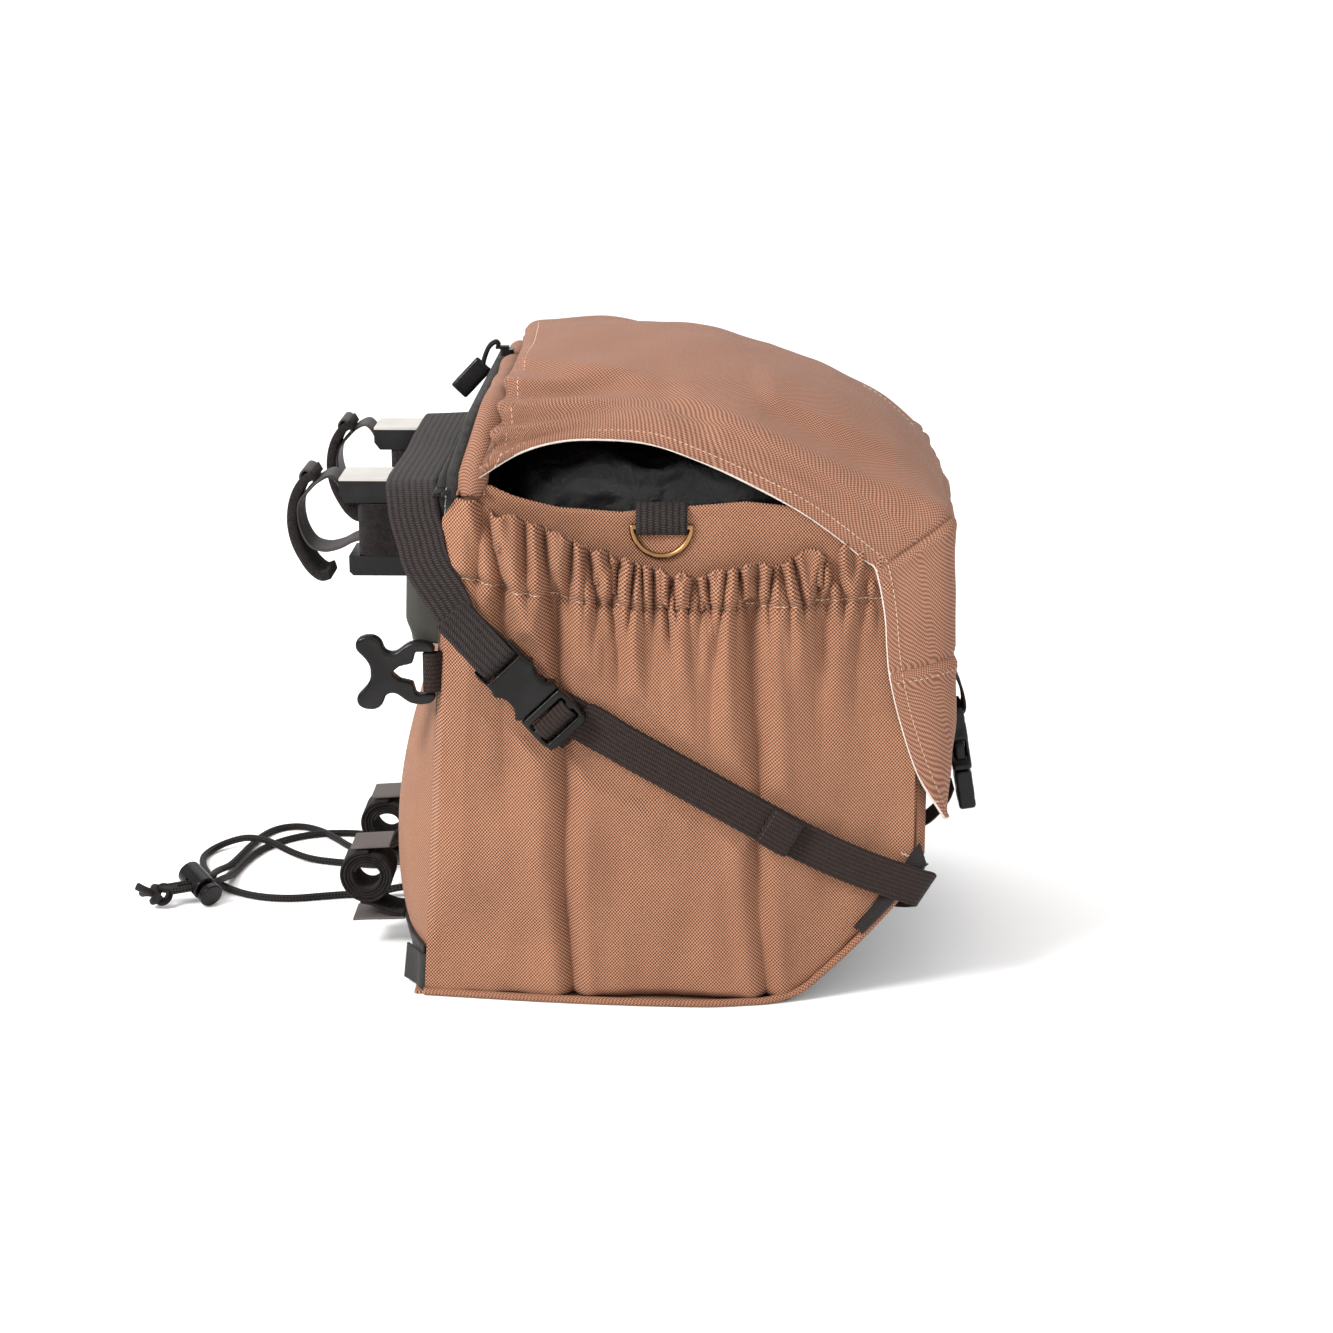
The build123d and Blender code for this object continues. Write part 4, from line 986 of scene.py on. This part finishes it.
def make_zip():
    profile = [(-3.5, 60, 69.5, 73), (0.5, 61, 70.5, 74), (3.4, 64.5, 73.5, 76.5), (4.2, 68, 77, 79.5),
               (2.6, 71.5, 80.5, 82.5), (-0.4, 73, 83, 85), (-3.0, 73.5, 83.5, 86)]
    rows = arch_sheet(profile, 113.5, 298, 35, 240)
    rows = np.array([spline(rows[:, k], 26) for k in range(rows.shape[1])]).transpose(1, 0, 2)
    up = normals(rows)
    up *= np.sign(up[13, 110, 2])
    lump = rough_noise(rows, 24, 2) * 1.1
    gate = np.sin(np.linspace(0, math.pi, 26))[:, None]
    ends = smoothstep(2, 16, np.minimum(np.arange(220), 219 - np.arange(220)))[None]
    rows = rows + up * (lump * gate)[:, :, None] - up * ((1 - ends) * 6.5)[:, :, None]
    pack_cloth("gusset_cloth", rows, CANVAS_LID, 1.0, "canvas", "zip_gusset")

    profile = [(-2.6, 73, 83, 85), (-0.2, 73.6, 83.6, 85.6), (0.5, 75, 85, 87), (-0.1, 77.5, 87.5, 89.5),
               (-3.2, 78.5, 89.5, 91.5), (-8.5, 78.3, 90.3, 93)]
    rows = arch_sheet(profile, 112.5, 297.5, 35, 240)
    pack_cloth("zip_band", rows, TAPE, 0.9, "black_fabric", "zip_tape")
    profile = [(-3.0, 78.4, 89.5, 91.5), (-4.6, 79.8, 91.4, 93.6), (-10.5, 79.5, 93, 101.0)]
    rows = arch_sheet(profile, 112.5, 297.5, 35, 240)
    pack_cloth("pad_binding", rows, BLACK_CLOTH, 0.8, "black_fabric")
    line = arch_sheet([(-1.2, 78.6, 88.9, 91)], 112.5, 297.5, 35, 240, 420)[0]
    for tag, part in (("right", line[4:34]), ("left", line[-34:-4])):
        zig = part + np.stack([np.zeros(30), np.tile([0.0, 0.9], 15), np.tile([1.1, -1.1], 15)], 1)
        stitches("zip_zigzag_" + tag, zig, np.tile((0, 1.0, 0.3), (30, 1)), "pack", 1.9, 0.9, 0.18,
                 THREAD_GREY)

    for side, sign in SIDES:
        rows = []
        for z in np.linspace(183, 255, 60):
            reach = np.interp(z, [183, 196, 228, 236, 247, 258, 268],
                              [113.6, 115.2, 114.6, 110.4, 104.2, 94, 84])
            foot = 1 - smoothstep(183, 196, z)
            path = [(reach - 9, 111.5 - 3 * foot), (reach - 3.5, 110.5 - 4 * foot),
                    (reach - 0.6, 107 - 4.5 * foot),
                    (reach, 102 - 3 * foot), (reach - 0.2, 95), (reach - 1.2, 84 + 5 * foot)]
            lean = np.interp(z, [183, 245, 268], [0, -2, -8])
            rows.append([(sign * x, y + lean, z) for x, y in spline(path, 22)])
        pack_cloth("pad_edge_" + side, rows, PAD, 1.2, "pad")

    for dx in (-1.2, 1.2):
        path = [(40 + dx * 0.4, 75.9, 306.9), (40 + dx, 77.2, 308.6), (40 + dx * 1.3, 80.6, 306.6),
                (40 + dx * 1.2, 83.2, 301.5), (40 + dx * 0.6, 84.6, 296.4)]
        piece = tube("zip_cord_%s" % ("a" if dx < 0 else "b"), path, 1.25, CORD, 40, sides=10)
        put(piece, "zip_pull", "cord", *(["zip_pull_cord"] if dx < 0 else []))
    dress("zip_slider", PLASTIC)
    soften("zip_pull_tab", "zip_pull", PLASTIC, 0.0007, 16)


# ------------------------------------------------------------------ webbing
def local(frame_origin, x_dir, z_dir):
    o, x, z = Vector(frame_origin), Vector(x_dir).normalized(), Vector(z_dir).normalized()
    y = z.cross(x)
    return lambda p: tuple(o + x * p[0] + y * p[1] + z * p[2]), tuple(y)


def stations(points, across, width):
    """Strap stations that share one direction across and one width."""
    return [(point, across, width) for point in points]


def side_strap(name, path, sign, mat, thickness, count):
    """A strap given on the -X side as (centre, across, width); sign 1 mirrors it."""
    made = [((-sign * c[0], c[1], c[2]), (-sign * a[0], a[1], a[2]), w) for c, a, w in path]
    return strap(name, made, mat, thickness, count)


def tail_point(x, down):
    """A point on the tail of the closure strap, so many millimetres down from its plug."""
    return (x, 28 - 0.868 * down, 150.2 - 0.496 * down)


def make_shoulder_strap(place, wide):
    """From one side buckle up over the blocks and down to the other."""
    top = 260.1
    run = [((-88, 108.8, top), (0, 1, 0), 25), ((-97, 108.7, top - 0.9), (-0.02, 0.998, -0.07), 25),
           ((-104, 107.6, 254.5), (0.0, 0.98, -0.18), 25), ((-110.5, 105.8, 246), (0, 0.965, -0.26), 25),
           ((-116, 102.6, 236), (0, 0.945, -0.33), 24.2), ((-120.8, 99.4, 225), (0, 0.925, -0.38), 23),
           ((-126, 89, 208), (0, 0.82, -0.57), 21.4)]
    ladder = ((-46, -1.6), (-36, -2.2), (-27, -2.9), (-21.2, -3.0), (-17.9, 0.1), (-21.4, 3.1), (-29, 3.4),
              (-42, 1.6), (-54, 1.0))
    run += stations([place((x, 0, z)) for x, z in ladder], wide, WEB)
    left = [((-c[0], c[1], c[2]), (-a[0], a[1], a[2]), w) for c, a, w in run]
    middle = [(x, 108.8 + 0.4 * math.sin(x / 22),
               top - 1.2 * math.cos(math.pi * x / 112) ** 2 * (abs(x) < 56))
              for x in (-56, -30, 0, 30, 56)]
    full = run[::-1] + stations(middle, (0, 1, 0), WIDE_WEB) + left
    put(strap("shoulder_strap", full, WEBBING, 1.7, 460), "pack", "webbing", "upper_strap")


def make_closure_strap(side, sign, place, wide):
    """The diagonal strap, its tail that travels with the plug, and their stitching."""
    flat = (0, 0.496, -0.868)
    anchor = stations([(-128.1, 39, 155.9), (-127.8, 10, 139.4), (-127.6, -30, 116.5), (-127.3, -60, 99.4),
                       (-126.9, -85, 85.6), (-125.6, -112, 72.6), (-123.7, -134, 64.0),
                       (-122.2, -141.5, 61.0),
                       (-120.0, -145.2, 59.3)], flat, WEB)
    anchor += [((-116.5, -146.4, 57.0), (0.1, 0.49, -0.86), 20),
               ((-108, -139.5, 50.6), (0.45, 0.40, -0.66), 20),
               ((-98.5, -137, 49.5), (0.1, 0.70, -0.70), 20)]
    piece = side_strap("diagonal_strap_" + side, anchor, sign, WEBBING_FINE, 1.6, 170)
    put(piece, "pack", "webbing", "lower_strap_" + side)

    ladder = ((33, -5.35), (27, -5.2), (21.5, -4.6), (14.4, 0.5), (15.2, 4.2), (18, 5.2), (21.4, 4.1),
              (23.4, 0.2))
    thread = stations([place((x, 0, z)) for x, z in ladder], wide,
                      19.4) + [(place((27.5, 0, -2.4)), wide, 19.6)]
    folded = [tail_point(-131.8, 124.5), tail_point(-133.1, 121), tail_point(-132.2, 108)]
    thread += stations([tail_point(-130.2, down) for down in (3, 30, 60, 90, 112, 121)] + folded, flat, WEB)
    piece = side_strap("strap_tail_" + side, thread, sign, WEBBING_FINE, 1.5, 260)
    put(piece, "side_plug_" + side, "webbing")
    for row, down in enumerate((109.5, 112.5)):
        middle = Vector(tail_point(-132.9, down))
        line = [tuple(middle + Vector(flat) * w) for w in np.linspace(-9, 9, 20)]
        line = [(-sign * p[0], p[1], p[2]) for p in line]
        stitches("tail_stitch_%s_%d" % (side, row), line, np.tile((sign, 0, 0), (20, 1)), "side_plug_" + side,
                 1.6, 0.7, 0.25, DARK_THREAD_AND_SEAM_SHADOW)
    line = [(sign * 117.6, y, z) for y, z in zip(np.linspace(-134, -144, 12), np.linspace(77, 72.5, 12))]
    zig = np.array(line) + np.tile([[0, 0, 0.9], [0, 0, -0.9]], (6, 1))
    stitches("bartack_" + side, zig, np.tile((sign, 0, 0), (12, 1)), "pack", 1.7, 0.2, 0.3)


def make_side_loops(side, sign):
    """The webbing of the plug half and of the D-ring."""
    loop = ((92.5, -113.4), (96, -116.2), (100, -120.3), (103, -120.6), (104.6, -118.2), (103, -115.7),
            (99.5, -115.4), (95, -114.6), (92.5, -113.2))
    loop = stations([(x, y - 2.6, 169.5) for y, x in loop], (0, 0, 1), WEB)
    piece = side_strap("clip_webbing_" + side, loop, sign, WEBBING_FINE, 1.5, 90)
    put(piece, "pack", "webbing", *on_right(side, "clip_loops"))
    tab = ((-112.6, 253.5), (-114.8, 252.2), (-116.8, 248), (-117.6, 243.5), (-116.6, 240.0), (-114.6, 238.9),
           (-112.9, 241), (-112.6, 247))
    tab = stations([(x, -14.5, z) for x, z in tab], (0, 1, 0), WIDE_WEB)
    piece = side_strap("ring_webbing_" + side, tab, sign, WEBBING, 1.5, 70)
    put(piece, "pack", "webbing", "ring_tab_" + side)
    dress("d_ring_" + side, BRASS)


def make_front_straps(side, sign):
    """The webbing below and above a front buckle."""
    x = BUCKLE_X * sign
    low = ((-146.8, 76), (-149, 75.2), (-155, 80), (-161.0, 88.5), (-163.2, 94.5))
    high = ((-158.6, 172), (-158.9, 160), (-160.6, 150), (-162.6, 141), (-163.0, 136.5), (-165.2, 133.6),
            (-167.8, 136.5), (-166.6, 146), (-162.6, 156))
    for name, body, path, count, node in (("front_strap_", "pack", low, 50, "front_webbing"),
                                          ("flap_strap_", "lid", high, 90, "flap_webbing")):
        web = stations([(x, y, z) for y, z in path], (1, 0, 0), WEB)
        put(strap(name + side, web, WEBBING_FINE, 1.5, count), body, "webbing", *on_right(side, node))


def make_straps():
    place, across = local((-133.5, 50, 164), (0, -0.69, -0.7238), (-1, 0, 0))
    across = Vector(across)
    wide = tuple(across * (1 if across.dot(Vector((0, 1, 0))) > 0 else -1))
    make_shoulder_strap(place, wide)
    for side, sign in SIDES:
        make_closure_strap(side, sign, place, wide)
        make_side_loops(side, sign)
    for side, sign in SIDES:
        make_front_straps(side, sign)
        for node, body in (("front_buckle_female_", "lid"), ("front_buckle_male_", "front_plug_" + side),
                           ("side_buckle_female_", "pack"), ("side_buckle_male_", "side_plug_" + side),
                           ("harness_clip_", "clip_" + side)):
            soften(node + side, body, PLASTIC)


# ------------------------------------------------------------------ bar loops, blocks and rolled keepers
def make_hardware():
    for side, s in SIDES:
        x = BLOCK_X * s
        dress("standoff_block_" + side, GLOSS)
        inner = [(135.5, 228.2), (141, 226.4), (147.1, 223.3), (154.6, 221.7), (161, 223.6), (165.4, 230),
                 (167.4, 239),
                 (166.3, 246.5), (161.5, 252.6), (156.5, 257.4), (151, 259.6), (147.3, 256.5), (144.5, 250.6)]
        lean = [0, 0, 0, 0, 0, 0, 0, -1, -2, -3, -1, 0, 0]
        path = [((x - s * d, y, z), (1, 0, 0), 23) for (y, z), d in zip(inner, lean)]
        put(strap("loop_lining_" + side, path, LOOP_BACK, 1.5, 130), "pack", "hook_loop", "bar_loop_" + side)
        outer = [(158.5, 260.6), (163.4, 257.6), (167.6, 251.5), (170.0, 244), (170.6, 235), (168.9, 226),
                 (165.0, 217.6),
                 (161.0, 211.8), (156.4, 208.6), (152.4, 209.6)]
        path = [((x, y, z), (1, 0, 0), 25) for y, z in outer]
        put(strap("loop_strap_" + side, path, FUZZ, 4.6, 120), "pack", "hook_loop")
        path = [((x, y, z), (1, 0, 0), 24) for y, z in
                ((158.5, 255.6), (160.5, 261.4), (163.5, 262.6), (165.6, 259.5), (164.2, 254.5))]
        put(strap("loop_keeper_" + side, path, LOOP_BACK, 1.3, 60), "pack", "hook_loop")
        ring = []
        for cx, cy in ((-15.2, 110), (-15.2, 122), (-15.2, 131), (-13.6, 135), (-9, 136.6), (0, 136.9),
                       (9, 136.6),
                       (13.6, 135), (15.2, 131), (15.2, 122), (15.2, 110)):
            ring.append(((x + cx, cy, 233.4), (0, 0, 1), 26.4))
        put(strap("block_wrap_" + side, ring, FUZZ, 1.8, 120), "pack", "hook_loop")

        rx, cy, cz = ROLL_X * s, 142, 40
        spiral = []
        for k in range(70):
            share = k / 69
            a = 4.2 * 2 * math.pi * share + 0.4
            r = 6.8 + 7.2 * share + 0.25 * math.sin(3 * a)
            spiral.append(((rx + 0.8 * math.sin(5 * share), cy + r * math.cos(a), cz + r * math.sin(a)),
                           (1, 0, 0), 24))
        put(strap("keeper_roll_" + side, spiral, FUZZ, 1.5, 420), "pack", "hook_loop",
            "keeper_strap_roll_" + side)
        leg = [((rx, y, z), (1, 0, 0), 24) for y,
               z in ((123, 19.0), (128, 19.2), (134, 21.4), (140, 24.6), (146, 26))]
        put(strap("keeper_leg_" + side, leg, FUZZ, 2.0, 40), "pack", "hook_loop")
        for z, tag in ((56.3, "top"), (16.6, "low")):
            start = 122.6 if z < 30 else 129.5
            path = [((rx, y, z + dz), (1, 0, 0), 24) for y,
                    dz in ((start, 0.8), (start + 8, 0.3), (142, 0), (150, -0.5))]
            nodes = on_right(side, "keeper_tabs") if tag == "top" else []
            put(strap("keeper_tab_%s_%s" % (tag, side), path, TAB, 1.6, 40), "pack", "tab_plastic", *nodes)
    # block_caps take the light grey of the painted reflection on the block tops.
    for node, mat in (("block_caps", BLOCK_TOP_PAINTED_REFLECTION), ("block_screws", STEEL), ("bungee_ports", GLOSS),
                      ("base_board", BOARD),
                      ("frame_sheet", BOARD)):
        dress(node, mat)


stage_and_camera()
make_cords()
make_lid()
make_body()
make_liner()
make_pockets()
make_pad()
make_zip()
make_straps()
make_hardware()
